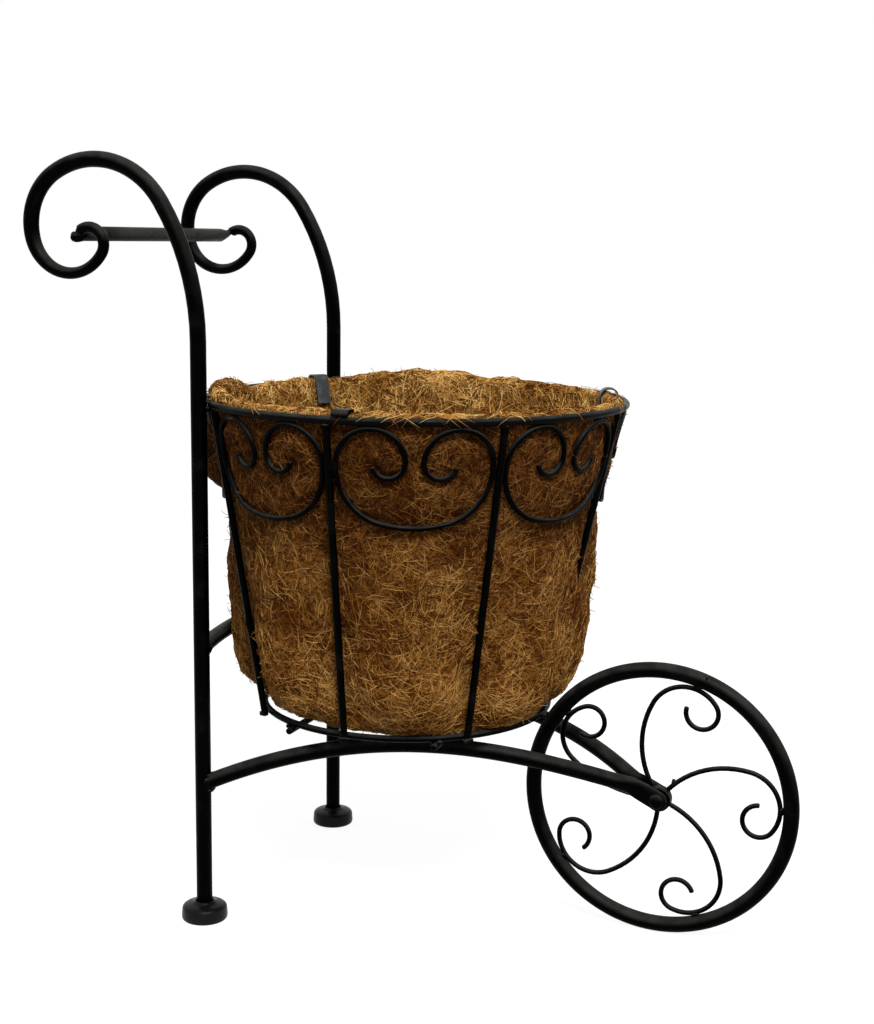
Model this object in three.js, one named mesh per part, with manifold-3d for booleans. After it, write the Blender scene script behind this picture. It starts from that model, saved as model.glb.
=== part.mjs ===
// A small wheelbarrow planter: a black steel frame of bent bar and wire with a spoked front wheel,
// and an open wire basket that holds a coir liner.
// Millimetres. +X points to the wheel, +Z up, and the floor is z = 0.
// The model is built round the basket's upright axis, then centred along X at the end.

import * as THREE from 'three';
import { mergeVertices } from 'three/addons/utils/BufferGeometryUtils.js';
import Module from 'manifold-3d';

const wasm = await Module();
wasm.setup();

// Clearances
const seatGap = 0.3;
const runningGap = 0.5;
const linerGap = 0.5;
const wheelGap = 1.6;

// Basket: two rings joined by straight ribs, and wires under its floor
const topRingRadius = 127;
const topRingWire = 4.5;
const topRingHeight = 314;
const bottomRingRadius = 88.5;
const bottomRingWire = 4;
const bottomRingHeight = 126.6;
const bottomRingSetBack = 4.5;
const ribCount = 8;
const ribWire = 4.2;
const ribOverhang = 2.4;
const floorWire = 4;
const floorWireOffset = 45;
const floorWireOverhang = 5;

// Basket scrolls: one C in each panel, its two curls hanging from the top ring
const scrollWire = 3;
const scrollDrop = 61;
const scrollArcShares = [[1.29, 13], [0.585, 81], [0.33, 171], [0.157, 168]];

// Side bars: each is a leg with a scrolled handle
const barThickness = 9.5;
const halfTrack = 91;
const scrollStartHeight = 350.5;
const legLeanRadius = 146;
const handleTopRadius = 53;
const handleBackRadius = 35;
const handleBottomRadius = 26.4;
const handleCurlRadius = 9.9;
const handleArcs = [
  { radius: legLeanRadius, degrees: 33 },
  { radius: handleTopRadius, degrees: 88.5 },
  { radius: handleBackRadius, degrees: 72 },
  { radius: handleBottomRadius, degrees: 132 },
  { radius: handleCurlRadius, degrees: 162 },
];
const taperStartShare = 0.84;
const taperEndShare = 0.94;
const tipThicknessShare = 0.7;

// Pieces between the side bars
const gripThickness = 8.8;
const gripEndRounding = 1;
const gripForwardShare = 0.5;
const gripDropShare = 0.4;
const braceHeight = 168.7;
const railRearHeight = 85;

// Wheel, axle rivet and the rails' flattened ends
const wheelRimRadius = 78.5;
const wheelRimThickness = 9.4;
const hubRadius = 7.5;
const hubWidth = 6.4;
const spokeCount = 5;
const spokeWire = 3;
const spokeStartDegrees = 121;
const spokeArcShares = [[0.715, 59], [0.297, 118], [0.131, 233]];
const flatSpokeIndex = 1;
const flatSpokeDegrees = 180;
const flatSpokeArcShares = [[0.97, 42], [0.27, 122], [0.131, 233]];
const rivetRadius = 2.5;
const rivetHeadRadius = 4.5;
const rivetHeadHeight = 2.2;
const railTabThickness = 3;
const railTabDepth = 12;
const railTabLength = 16;
const railTabReach = 6;
const railSpread = 17;
const railBendPower = 6;

// Rubber caps on the feet
const capRadius = 13.9;
const capSideHeight = 8.8;
const capShoulder = 1.8;
const capHeight = 11.4;
const capFloor = 3;
const capCollarWall = 1;

// Coir liner and the strips that clip its rim to the ring
const linerWall = 8;
const pinchedWall = 5;
const linerRimRise = 5.2;
const linerBulge = 15.5;
const linerCorner = 9;
const linerBulgeShares = [
  [0, 0], [0.035, 0.6], [0.09, 0.84], [0.22, 1], [0.38, 0.88], [0.6, 0.64], [0.77, 0.42], [1, 0],
];
const rearBulgeShare = 0.7;
const clipWidth = 9.5;
const clipThickness = 1;
const clipOuterDrop = 2;
const clipInnerLength = 19;
const clipPinchMargin = 8;
const frontClipDegrees = -86;
const wheelClipDegrees = 36;
const legClipOffset = 17;

// Places worked out from the sizes above
const barRadius = barThickness / 2;
const legDistance = topRingRadius + topRingWire / 2 + seatGap + barRadius;
const legX = -Math.sqrt(legDistance ** 2 - halfTrack ** 2);
const hubHeight = wheelRimRadius + wheelRimThickness / 2;
const hubX = wheelCentreX();
const floorWireHeight = bottomRingHeight - bottomRingWire / 2 - seatGap - floorWire / 2;
const railCrownHeight = floorWireHeight - floorWire / 2 - seatGap - barRadius;
const railTabOffset = hubWidth / 2 + runningGap + railTabThickness / 2;
const rivetHeadStart = railTabOffset + railTabThickness / 2 + seatGap;
const linerRimHeight = topRingHeight + linerRimRise;
const linerFloorHeight = floorWireHeight + floorWire / 2 + seatGap;
const basketSlope = (topRingRadius - bottomRingRadius) / (topRingHeight - bottomRingHeight);
const uprightShare = Math.cos(Math.atan(basketSlope));
const scrollBottomHeight = topRingHeight - scrollDrop * uprightShare;
const panelTopHeight = scrollBottomHeight - scrollWire / 2 - linerGap;
const panelBottomHeight = bottomRingHeight + bottomRingWire / 2 + linerGap;
const clipTopHeight = linerRimHeight + seatGap + clipThickness;
const legClipDegrees = THREE.MathUtils.radToDeg(Math.atan2(halfTrack, legX) + legClipOffset / legDistance);
const clipAngles = [frontClipDegrees, wheelClipDegrees, legClipDegrees];
const handleScroll = arcChain(new THREE.Vector2(legX, scrollStartHeight), 90, handleArcs, 17);
const gripCentre = handleScroll.at(-1).clone().sub(
  new THREE.Vector2(gripForwardShare * gripThickness / 2, gripDropShare * gripThickness / 2));

// Finishes
const paint = { color: 0x1c1c1e, roughness: 0.42, metalness: 0.35 };
const rubber = { color: 0x161617, roughness: 0.75, metalness: 0 };
const coir = { color: 0x8a5a24, roughness: 0.95, metalness: 0 };
const strip = { color: 0x3a3c40, roughness: 0.5, metalness: 0.6 };

// The wheel stands as close to the bottom ring as its gap allows.
function wheelCentreX() {
  const ringFront = bottomRingRadius - bottomRingSetBack;
  const reach = hubHeight + bottomRingWire / 2 + wheelGap;
  return ringFront + Math.sqrt(reach ** 2 - (bottomRingHeight - hubHeight) ** 2);
}

// How far down from the top ring (0) to the bottom ring (1) a height lies
function fallAt(height) {
  return (topRingHeight - height) / (topRingHeight - bottomRingHeight);
}

function basketRadius(height) {
  return THREE.MathUtils.lerp(topRingRadius, bottomRingRadius, fallAt(height));
}

function basketPoint(angle, height, outward = 0) {
  const radius = basketRadius(height) + outward;
  const x = radius * Math.cos(angle) - bottomRingSetBack * fallAt(height);
  return new THREE.Vector3(x, radius * Math.sin(angle), height);
}

// Outside radius of the liner at a rib, where the wire presses a groove into it
function linerOuterRadius(height) {
  const wireReach = ribWire / 2 / uprightShare;
  return basketRadius(Math.min(height, topRingHeight)) - wireReach - linerGap;
}

// Points along arcs that follow one another without a kink; a negative radius bends to the right.
function arcChain(start, headingDegrees, arcs, stepDegrees) {
  const points = [start.clone()];
  let heading = THREE.MathUtils.degToRad(headingDegrees);
  for (const { radius, degrees } of arcs) {
    const turn = THREE.MathUtils.degToRad(degrees) * Math.sign(radius);
    const from = points.at(-1);
    const centre = new THREE.Vector2(from.x - radius * Math.sin(heading), from.y + radius * Math.cos(heading));
    const steps = Math.ceil(degrees / stepDegrees);
    for (let step = 1; step <= steps; step += 1) {
      const angle = heading + turn * step / steps;
      points.push(new THREE.Vector2(centre.x + radius * Math.sin(angle), centre.y - radius * Math.cos(angle)));
    }
    heading += turn;
  }
  return points;
}

// A path whose steps fall on its own points, so that tight bends get more of them
class BentPath extends THREE.CatmullRomCurve3 {
  getUtoTmapping(share) {
    return share;
  }
}

// A round bar along a list of points
function bar(points, radius, sides) {
  const section = new THREE.Shape(
    Array.from({ length: sides }, (_, side) => {
      const angle = 2 * Math.PI * side / sides;
      return new THREE.Vector2(radius * Math.cos(angle), radius * Math.sin(angle));
    }));
  const path = new BentPath(points);
  return new THREE.ExtrudeGeometry(section, {
    steps: points.length - 1,
    extrudePath: path,
    bevelEnabled: false,
  });
}

// Flattens or thins a bar: sizeAt gives, for each share of its length, its size across Y and in the XZ plane.
function reshapeBar(geometry, points, sizeAt) {
  const lengths = [0];
  for (let index = 1; index < points.length; index += 1) {
    lengths.push(lengths.at(-1) + points[index].distanceTo(points[index - 1]));
  }
  const position = geometry.getAttribute('position');
  const vertex = new THREE.Vector3();
  for (let index = 0; index < position.count; index += 1) {
    vertex.fromBufferAttribute(position, index);
    let nearest = 0;
    for (let candidate = 1; candidate < points.length; candidate += 1) {
      if (points[candidate].distanceTo(vertex) < points[nearest].distanceTo(vertex)) {
        nearest = candidate;
      }
    }
    const [across, inPlane] = sizeAt(lengths[nearest] / lengths.at(-1));
    const centre = points[nearest];
    position.setXYZ(index,
      centre.x + (vertex.x - centre.x) * inPlane,
      centre.y + (vertex.y - centre.y) * across,
      centre.z + (vertex.z - centre.z) * inPlane);
  }
  return geometry;
}

function toSolid(geometry) {
  const plain = geometry.clone();
  plain.deleteAttribute('normal');
  plain.deleteAttribute('uv');
  const merged = mergeVertices(plain, seatGap / 1000);
  return new wasm.Manifold(new wasm.Mesh({
    numProp: 3,
    vertProperties: new Float32Array(merged.getAttribute('position').array),
    triVerts: new Uint32Array(merged.index.array),
  }));
}

function toGeometry(solid) {
  const mesh = solid.getMesh();
  const geometry = new THREE.BufferGeometry();
  geometry.setAttribute('position', new THREE.BufferAttribute(mesh.vertProperties, 3));
  geometry.setIndex(new THREE.BufferAttribute(mesh.triVerts, 1));
  geometry.computeVertexNormals();
  return geometry;
}

function cut(geometry, tools) {
  const body = tools.reduce((solid, tool) => solid.subtract(toSolid(tool)), toSolid(geometry));
  return toGeometry(body);
}

function piece(name, geometry, finish) {
  const mesh = new THREE.Mesh(geometry, new THREE.MeshStandardMaterial(finish));
  mesh.name = name;
  return mesh;
}

function straightWire(name, from, to, thickness, sides) {
  const direction = to.clone().sub(from);
  const geometry = new THREE.CylinderGeometry(thickness / 2, thickness / 2, direction.length(), sides);
  const mesh = piece(name, geometry, paint);
  mesh.position.copy(from).lerp(to, 1 / 2);
  mesh.quaternion.setFromUnitVectors(new THREE.Vector3(0, 1, 0), direction.normalize());
  return mesh;
}

function ring(name, radius, wire, sides, segments) {
  return piece(name, new THREE.TorusGeometry(radius, wire / 2, sides, segments), paint);
}

// A turned shape about the Y axis from a profile of [radius, place along the axis]
function turned(profile, segments) {
  return new THREE.LatheGeometry(profile.map(([radius, along]) => new THREE.Vector2(radius, along)), segments);
}

function makeTopRing() {
  const mesh = ring('basket_top_ring', topRingRadius, topRingWire, 10, 64);
  mesh.position.z = topRingHeight;
  return mesh;
}

function makeBottomRing() {
  const mesh = ring('basket_bottom_ring', bottomRingRadius, bottomRingWire, 8, 56);
  mesh.position.set(-bottomRingSetBack, 0, bottomRingHeight);
  return mesh;
}

// The ribs end under the top ring and run down outside the bottom ring. The front one, which the
// wheel passes closely, stands on top of the bottom ring instead.
function makeRib(index) {
  const angle = 2 * Math.PI * index / ribCount;
  const isFront = index === 0;
  const outward = isFront ? 0 : bottomRingWire / 2 + seatGap + ribWire / 2;
  const ringPoint = basketPoint(angle, topRingHeight);
  const lowPoint = basketPoint(angle, bottomRingHeight, outward);
  const direction = lowPoint.clone().sub(ringPoint).normalize();
  const top = ringPoint.clone().addScaledVector(direction, topRingWire / 2 + seatGap);
  const pastRing = isFront ? -(bottomRingWire / 2 + seatGap) : ribOverhang;
  const bottom = lowPoint.clone().addScaledVector(direction, pastRing);
  return straightWire(`basket_rib_${index + 1}`, top, bottom, ribWire, 8);
}

// Half of a scroll as [sideways, height] from the middle of its lower bend, fitted to its panel
function scrollHalf() {
  const arcs = scrollArcShares.map(([share, degrees]) => ({ radius: share * scrollDrop, degrees }));
  const raw = arcChain(new THREE.Vector2(0, 0), 0, arcs, 24);
  const topHeight = topRingHeight - (topRingWire / 2 + seatGap + scrollWire / 2) * uprightShare;
  const widest = raw.reduce((best, point) => (point.x > best.x ? point : best));
  const tallest = Math.max(...raw.map((point) => point.y));
  const heightScale = (topHeight - scrollBottomHeight) / tallest;
  const widestHeight = scrollBottomHeight + widest.y * heightScale;
  const panelHalf = Math.PI / ribCount * basketRadius(widestHeight);
  const widthScale = (panelHalf - ribWire / 2 - seatGap - scrollWire / 2) / widest.x;
  return raw.map((point) => [point.x * widthScale, scrollBottomHeight + point.y * heightScale]);
}

function makeBasketScroll(index) {
  const middle = 2 * Math.PI * (index + 1 / 2) / ribCount;
  const half = scrollHalf();
  const onBasket = ([sideways, height]) => basketPoint(middle + sideways / basketRadius(height), height);
  const mirrored = half.slice(1).reverse().map(([sideways, height]) => [-sideways, height]);
  const points = [...mirrored, ...half].map(onBasket);
  return piece(`basket_scroll_${index + 1}`, bar(points, scrollWire / 2, 6), paint);
}

// A wire under the basket's floor, its ends reaching just past the bottom ring
function makeFloorWire(name, x) {
  const halfLength = Math.sqrt(bottomRingRadius ** 2 - (x + bottomRingSetBack) ** 2) + floorWireOverhang;
  const from = new THREE.Vector3(x, -halfLength, floorWireHeight);
  const to = new THREE.Vector3(x, halfLength, floorWireHeight);
  return straightWire(name, from, to, floorWire, 8);
}

// A leg that rises straight and rolls backwards into a thinning scroll
function makeSideBar(name, side) {
  const foot = new THREE.Vector2(legX, capFloor + seatGap);
  const points = [foot, ...handleScroll].map((point) => new THREE.Vector3(point.x, side * halfTrack, point.y));
  const geometry = reshapeBar(bar(points, barRadius, 12), points, (share) => {
    const thinned = THREE.MathUtils.smoothstep(share, taperStartShare, taperEndShare);
    const size = THREE.MathUtils.lerp(1, tipThicknessShare, thinned);
    return [size, size];
  });
  return piece(name, geometry, paint);
}

// The grip bar lies between the tips of the two handle scrolls.
function makeGripBar() {
  const half = halfTrack - barRadius * tipThicknessShare - seatGap;
  const radius = gripThickness / 2;
  const profile = [
    [0, -half],
    [radius - gripEndRounding, -half],
    [radius, -half + gripEndRounding],
    [radius, half - gripEndRounding],
    [radius - gripEndRounding, half],
    [0, half],
  ];
  const mesh = piece('grip_bar', turned(profile, 14), paint);
  mesh.position.set(gripCentre.x, 0, gripCentre.y);
  return mesh;
}

// A stand-in for a leg, a gap larger all round, that copes the end of a bar welded to it
function legTool(side) {
  const height = 2 * topRingHeight;
  const geometry = new THREE.CylinderGeometry(barRadius + seatGap, barRadius + seatGap, height, 24);
  geometry.rotateX(Math.PI / 2);
  geometry.translate(legX, side * halfTrack, 0);
  return geometry;
}

// The brace between the legs bows backwards just far enough to pass behind the rear rib.
function makeLegBrace() {
  const ribOutside = bottomRingWire / 2 + seatGap + ribWire;
  const share = fallAt(braceHeight);
  const ribX = -(basketRadius(braceHeight) + ribOutside * share) - bottomRingSetBack * share - ribWire / 2;
  const bow = legX - (ribX - seatGap - barRadius);
  const steps = 10;
  const points = Array.from({ length: steps + 1 }, (_, step) => {
    const across = 2 * step / steps - 1;
    return new THREE.Vector3(legX - bow * (1 - across ** 2), across * halfTrack, braceHeight);
  });
  const geometry = cut(bar(points, barRadius, 12), [legTool(-1), legTool(1)]);
  return piece('leg_brace', geometry, paint);
}

// Centre height of a rail, which arches from the leg to the wheel and carries the front floor wire
function railHeight(x) {
  const share = (x - legX) / (hubX - legX);
  const chord = THREE.MathUtils.lerp(railRearHeight, hubHeight, share);
  const rise = railCrownHeight - (railRearHeight + hubHeight) / 2;
  return chord + rise * 4 * share * (1 - share);
}

// A rail runs nearly straight in plan from its leg, and bends in more and more towards the wheel's hub
function railPoints(side) {
  const tabStart = hubX - railTabLength;
  const points = [];
  const steps = 24;
  for (let step = 0; step < steps; step += 1) {
    const share = step / steps;
    const x = THREE.MathUtils.lerp(legX, tabStart, share);
    const spread = railSpread * (share - share ** railBendPower);
    const across = THREE.MathUtils.lerp(halfTrack, railTabOffset, share) + spread;
    points.push(new THREE.Vector3(x, side * across, railHeight(x)));
  }
  for (const x of [tabStart + barRadius, hubX - railTabReach, hubX + railTabReach]) {
    points.push(new THREE.Vector3(x, side * railTabOffset, railHeight(x)));
  }
  return points;
}

// An arched rail: coped to its leg behind, flattened to a tab at the front for the axle rivet
function makeRail(name, side) {
  const points = railPoints(side);
  const flatShare = (railTabLength + railTabReach) / (hubX - legX);
  const geometry = reshapeBar(bar(points, barRadius, 12), points, (share) => {
    const flattened = THREE.MathUtils.smoothstep(share, 1 - 2 * flatShare, 1 - flatShare);
    return [
      THREE.MathUtils.lerp(1, railTabThickness / barThickness, flattened),
      THREE.MathUtils.lerp(1, railTabDepth / barThickness, flattened),
    ];
  });
  const hole = new THREE.CylinderGeometry(rivetRadius + seatGap, rivetRadius + seatGap, 4 * railTabOffset, 16);
  hole.translate(hubX, 0, hubHeight);
  return piece(name, cut(geometry, [legTool(side), hole]), paint);
}

function makeFootCap(name, side) {
  const bore = barRadius + seatGap;
  const profile = [
    [0, 0],
    [capRadius - capShoulder / 2, 0],
    [capRadius, capShoulder / 2],
    [capRadius, capSideHeight - capShoulder],
    [capRadius - capShoulder / 4, capSideHeight - capShoulder / 3],
    [capRadius - capShoulder, capSideHeight],
    [bore + capCollarWall, capHeight - capCollarWall],
    [bore + capCollarWall, capHeight],
    [bore, capHeight],
    [bore, capFloor],
    [0, capFloor],
  ];
  const mesh = piece(name, turned(profile, 28), rubber);
  mesh.rotation.x = Math.PI / 2;
  mesh.position.set(legX, side * halfTrack, 0);
  return mesh;
}

// Outward bulge of the liner between two ribs, below the scrolls and above the bottom ring; the two
// rear panels bulge less, in front of the brace
function linerBulgeAt(height, angle) {
  const along = (height - panelBottomHeight) / (panelTopHeight - panelBottomHeight);
  const upper = linerBulgeShares.findIndex(([share]) => share >= along);
  if (upper <= 0) {
    return 0;
  }
  const [lowShare, lowBulge] = linerBulgeShares[upper - 1];
  const [highShare, highBulge] = linerBulgeShares[upper];
  const bulge = THREE.MathUtils.mapLinear(along, lowShare, highShare, lowBulge, highBulge);
  const isRear = Math.cos(angle) < -Math.cos(2 * Math.PI / ribCount);
  const lobe = Math.sin(ribCount * angle / 2) ** 2;
  return linerBulge * bulge * lobe * (isRear ? rearBulgeShare : 1);
}

// How far a place on the inner wall is squeezed outwards by the nearest clip, from 0 to 1
function clipPinchShare(height, angle) {
  const clipEnd = clipTopHeight - clipInnerLength;
  const across = Math.min(...clipAngles.map((degrees) => {
    const turn = angle - THREE.MathUtils.degToRad(degrees);
    return Math.abs(Math.atan2(Math.sin(turn), Math.cos(turn)));
  })) * topRingRadius;
  const sideways = THREE.MathUtils.smoothstep(across, clipWidth / 2 + clipPinchMargin, clipWidth + 2 * clipPinchMargin);
  const below = THREE.MathUtils.smoothstep(clipEnd - height, linerGap, clipPinchMargin);
  return (1 - sideways) * (1 - below);
}

// A bowl of coir: a lathe shape whose wall then bulges out between the ribs
function makeLiner() {
  const floorTop = linerFloorHeight + linerWall;
  const floorRadius = bottomRingRadius - bottomRingWire / 2 - linerGap - ribWire / 2;
  const bulgeHeights = linerBulgeShares.slice(1)
    .map(([share]) => THREE.MathUtils.lerp(panelBottomHeight, panelTopHeight, share));
  const wallHeights = [...bulgeHeights, topRingHeight];
  const outer = wallHeights.map((height) => [linerOuterRadius(height), height]);
  const clipEnd = clipTopHeight - clipInnerLength;
  const innerHeights = [
    ...wallHeights.filter((height) => height > floorTop + linerCorner && height < clipEnd - clipPinchMargin),
    clipEnd - clipPinchMargin,
    clipEnd - linerGap,
    linerRimHeight,
  ];
  const inner = innerHeights.map((height) => [linerOuterRadius(height) - linerWall, height]);
  const profile = [
    [0, linerFloorHeight],
    [floorRadius, linerFloorHeight],
    [floorRadius + linerGap, panelBottomHeight],
    ...outer,
    [linerOuterRadius(linerRimHeight), linerRimHeight],
    ...inner.reverse(),
    [linerOuterRadius(floorTop) - linerWall - linerCorner, floorTop],
    [0, floorTop],
  ];
  const geometry = turned(profile, 10 * ribCount);
  geometry.rotateX(Math.PI / 2);
  const position = geometry.getAttribute('position');
  for (let index = 0; index < position.count; index += 1) {
    const x = position.getX(index);
    const y = position.getY(index);
    const height = position.getZ(index);
    const angle = Math.atan2(y, x);
    const radius = Math.hypot(x, y);
    const wallShare = THREE.MathUtils.smoothstep(radius, floorRadius - linerWall - linerCorner, floorRadius);
    const isInner = radius < linerOuterRadius(height) - linerWall / 2;
    const squeezed = isInner ? (linerWall - pinchedWall) * clipPinchShare(height, angle) * wallShare : 0;
    const grown = radius + linerBulgeAt(height, angle) * wallShare + squeezed;
    const setBack = bottomRingSetBack * fallAt(Math.min(height, topRingHeight));
    position.setXY(index, grown * Math.cos(angle) - setBack, grown * Math.sin(angle));
  }
  geometry.computeVertexNormals();
  return piece('coir_liner', geometry, coir);
}

// A bent metal strip that hooks over the ring and the liner's rim
function makeLinerClip(index) {
  const outerFace = topRingRadius + topRingWire / 2 + seatGap + clipThickness;
  const innerFace = linerOuterRadius(linerRimHeight) - pinchedWall - runningGap - clipThickness;
  const innerEnd = innerFace - clipInnerLength * basketSlope;
  const underside = clipTopHeight - clipThickness;
  const outline = new THREE.Shape([
    new THREE.Vector2(outerFace - clipThickness, topRingHeight - clipOuterDrop),
    new THREE.Vector2(outerFace, topRingHeight - clipOuterDrop),
    new THREE.Vector2(outerFace, underside),
    new THREE.Vector2(outerFace - clipThickness, clipTopHeight),
    new THREE.Vector2(innerFace + clipThickness, clipTopHeight),
    new THREE.Vector2(innerFace, underside),
    new THREE.Vector2(innerEnd, clipTopHeight - clipInnerLength),
    new THREE.Vector2(innerEnd + clipThickness, clipTopHeight - clipInnerLength),
    new THREE.Vector2(innerFace + clipThickness, underside),
    new THREE.Vector2(outerFace - clipThickness, underside),
  ]);
  const geometry = new THREE.ExtrudeGeometry(outline, { depth: clipWidth, bevelEnabled: false });
  geometry.translate(0, 0, -clipWidth / 2);
  geometry.rotateX(Math.PI / 2);
  const mesh = piece(`liner_clip_${index + 1}`, geometry, strip);
  mesh.rotation.z = THREE.MathUtils.degToRad(clipAngles[index]);
  return mesh;
}

// One spoke about the wheel's centre, scaled so that its outer bend just reaches the rim
function spokeOutline(arcShares) {
  const reach = wheelRimRadius - wheelRimThickness / 2 - seatGap - spokeWire / 2;
  const start = new THREE.Vector2(hubRadius + seatGap, 0);
  const chainFor = (scale) => arcChain(start, 0,
    arcShares.map(([share, degrees]) => ({ radius: -share * scale, degrees })), 22);
  const reachOf = (points) => Math.max(...points.map((point) => point.length()));
  let scale = reach;
  for (let round = 0; round < 40; round += 1) {
    scale *= (reach - start.x) / (reachOf(chainFor(scale)) - start.x);
  }
  return chainFor(scale);
}

// The spokes stand evenly round the hub, but for one that was bent flatter than the others
function makeSpoke(index) {
  const isFlat = index === flatSpokeIndex;
  const evenTurn = THREE.MathUtils.degToRad(spokeStartDegrees) + 2 * Math.PI * index / spokeCount;
  const turn = isFlat ? THREE.MathUtils.degToRad(flatSpokeDegrees) : evenTurn;
  const points = spokeOutline(isFlat ? flatSpokeArcShares : spokeArcShares).map((point) => {
    const turnedPoint = point.clone().rotateAround(new THREE.Vector2(0, 0), turn);
    return new THREE.Vector3(turnedPoint.x, 0, turnedPoint.y);
  });
  return piece(`wheel_spoke_${index + 1}`, bar(points, spokeWire / 2, 6), paint);
}

function makeWheelRim() {
  const mesh = ring('wheel_rim', wheelRimRadius, wheelRimThickness, 10, 64);
  mesh.rotation.x = Math.PI / 2;
  return mesh;
}

function makeWheelHub() {
  const half = hubWidth / 2;
  const bore = rivetRadius + seatGap;
  const profile = [[bore, -half], [hubRadius, -half], [hubRadius, half], [bore, half], [bore, -half]];
  return piece('wheel_hub', turned(profile, 24), paint);
}

function makeWheel() {
  const wheel = new THREE.Group();
  wheel.position.set(hubX, 0, hubHeight);
  wheel.add(makeWheelRim(), makeWheelHub());
  for (let index = 0; index < spokeCount; index += 1) {
    wheel.add(makeSpoke(index));
  }
  return wheel;
}

// A rivet through both rails and the hub, with a domed head on each side
function makeAxleRivet() {
  const domeSteps = 4;
  const dome = Array.from({ length: domeSteps }, (_, step) => {
    const angle = Math.PI / 2 * step / domeSteps;
    return [rivetHeadRadius * Math.cos(angle), rivetHeadStart + rivetHeadHeight * Math.sin(angle)];
  });
  const upper = [[rivetRadius, rivetHeadStart], ...dome, [0, rivetHeadStart + rivetHeadHeight]];
  const lower = upper.map(([radius, along]) => [radius, -along]).reverse();
  const mesh = piece('axle_rivet', turned([...lower, ...upper], 20), paint);
  mesh.position.set(hubX, 0, hubHeight);
  return mesh;
}

function makeBasket() {
  const basket = new THREE.Group();
  basket.add(makeTopRing(), makeBottomRing());
  for (let index = 0; index < ribCount; index += 1) {
    basket.add(makeRib(index), makeBasketScroll(index));
  }
  basket.add(makeFloorWire('front_floor_wire', floorWireOffset));
  basket.add(makeFloorWire('rear_floor_wire', -floorWireOffset));
  return basket;
}

function makeFrame() {
  const frame = new THREE.Group();
  frame.add(makeGripBar(), makeLegBrace());
  for (const [word, side] of [['right', -1], ['left', 1]]) {
    frame.add(makeSideBar(`${word}_side_bar`, side));
    frame.add(makeRail(`${word}_rail`, side));
    frame.add(makeFootCap(`${word}_foot_cap`, side));
  }
  return frame;
}

function makeLinerGroup() {
  const liner = new THREE.Group();
  liner.add(makeLiner());
  for (let index = 0; index < clipAngles.length; index += 1) {
    liner.add(makeLinerClip(index));
  }
  return liner;
}

const planter = new THREE.Group();
planter.add(makeFrame(), makeBasket(), makeLinerGroup(), makeWheel(), makeAxleRivet());

// Centred along X between the back of the handle scrolls and the front of the wheel
planter.updateMatrixWorld(true);
const extent = new THREE.Box3().setFromObject(planter, true);
planter.position.x = -(extent.min.x + extent.max.x) / 2;
planter.updateMatrixWorld(true);

export default planter;
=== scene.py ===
import math
import random

import bmesh
import bpy
from mathutils import Matrix, Vector, noise
from mathutils.bvhtree import BVHTree


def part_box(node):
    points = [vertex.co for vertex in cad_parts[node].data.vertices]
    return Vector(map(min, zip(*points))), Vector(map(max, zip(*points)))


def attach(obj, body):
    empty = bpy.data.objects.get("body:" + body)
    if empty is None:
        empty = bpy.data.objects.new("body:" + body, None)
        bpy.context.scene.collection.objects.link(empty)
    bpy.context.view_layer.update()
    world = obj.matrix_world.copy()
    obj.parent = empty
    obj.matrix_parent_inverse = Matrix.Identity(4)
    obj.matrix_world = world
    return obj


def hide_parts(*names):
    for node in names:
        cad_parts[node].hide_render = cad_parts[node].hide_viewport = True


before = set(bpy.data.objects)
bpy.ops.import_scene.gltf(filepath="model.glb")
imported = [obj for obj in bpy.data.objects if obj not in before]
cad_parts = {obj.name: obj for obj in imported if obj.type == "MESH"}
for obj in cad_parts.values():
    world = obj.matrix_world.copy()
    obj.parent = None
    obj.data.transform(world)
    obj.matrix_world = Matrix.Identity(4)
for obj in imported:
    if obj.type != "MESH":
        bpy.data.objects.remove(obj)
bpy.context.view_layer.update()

# Side bars: two round steel bars, each bent cold into a leg that leans back at the top and rolls into
# a handle scroll. The curl's end is drawn out thin. All the steel is welded, then sprayed satin black.
BAR_THICKNESS = 0.0095
HALF_TRACK = 0.091
LEG_FOOT = 0.0033
SCROLL_START = 0.3505
HANDLE_BENDS = ((0.146, 33), (0.053, 88.5), (0.035, 72), (0.0264, 132), (0.0099, 162))
TAPER_START = 0.84
TAPER_END = 0.94
TIP_SHARE = 0.7
TIP_ROUNDING = 0.0018
BEND_STEP = 4
EDGE_ROUNDING = 0.0008
EDGE_ANGLES = (90, 60, 30, 0)
BAR_SIDES = 24
SHARP_ANGLE = 42
MERGE_GAP = 0.000004
SIDES = (("right", -1), ("left", 1))
ALONG = Vector((1, 0, 0))
ACROSS = Vector((0, 1, 0))
UP = Vector((0, 0, 1))
PAINT_BLACK = (0.0003, 0.0003, 0.0003, 1)
WORN_BLACK = (0.0042, 0.0041, 0.0038, 1)
DUST_AND_TOP_LIGHT_BLACK = (0.037, 0.037, 0.0335, 1)
PAINT_GLOSS = 0.013
PAINT_ROUGHNESS = (0.24, 0.4)
SPOT_RANGE = (0.3, 0.7)
RUBBED_SPOTS = (55, 5, 0.65)
RUBBED_RANGE = (0.5, 0.72)
DUST_SPOTS = (90, 4, 0.6)
DUST_AND_TOP_LIGHT_FACING = (0.03, 0.65)
THIN_DUST = 0.45
GLOSS_SPOTS = (140, 4, 0.6)
PAINT_RUNS = (160, 2)
RUN_BUMP = (0.35, 0.0004)
PAINT_PEBBLES = (1500, 2)
PEBBLE_BUMP = (0.3, 0.00008)

foot_low, foot_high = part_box("right_foot_cap")
LEG_X = (foot_low[0] + foot_high[0]) / 2


def new_material(name):
    """A material with nodes: returns it with its tree and its shader."""
    material = bpy.data.materials.new(name)
    material.use_nodes = True
    tree = material.node_tree
    return material, tree, tree.nodes["Principled BSDF"]


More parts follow.
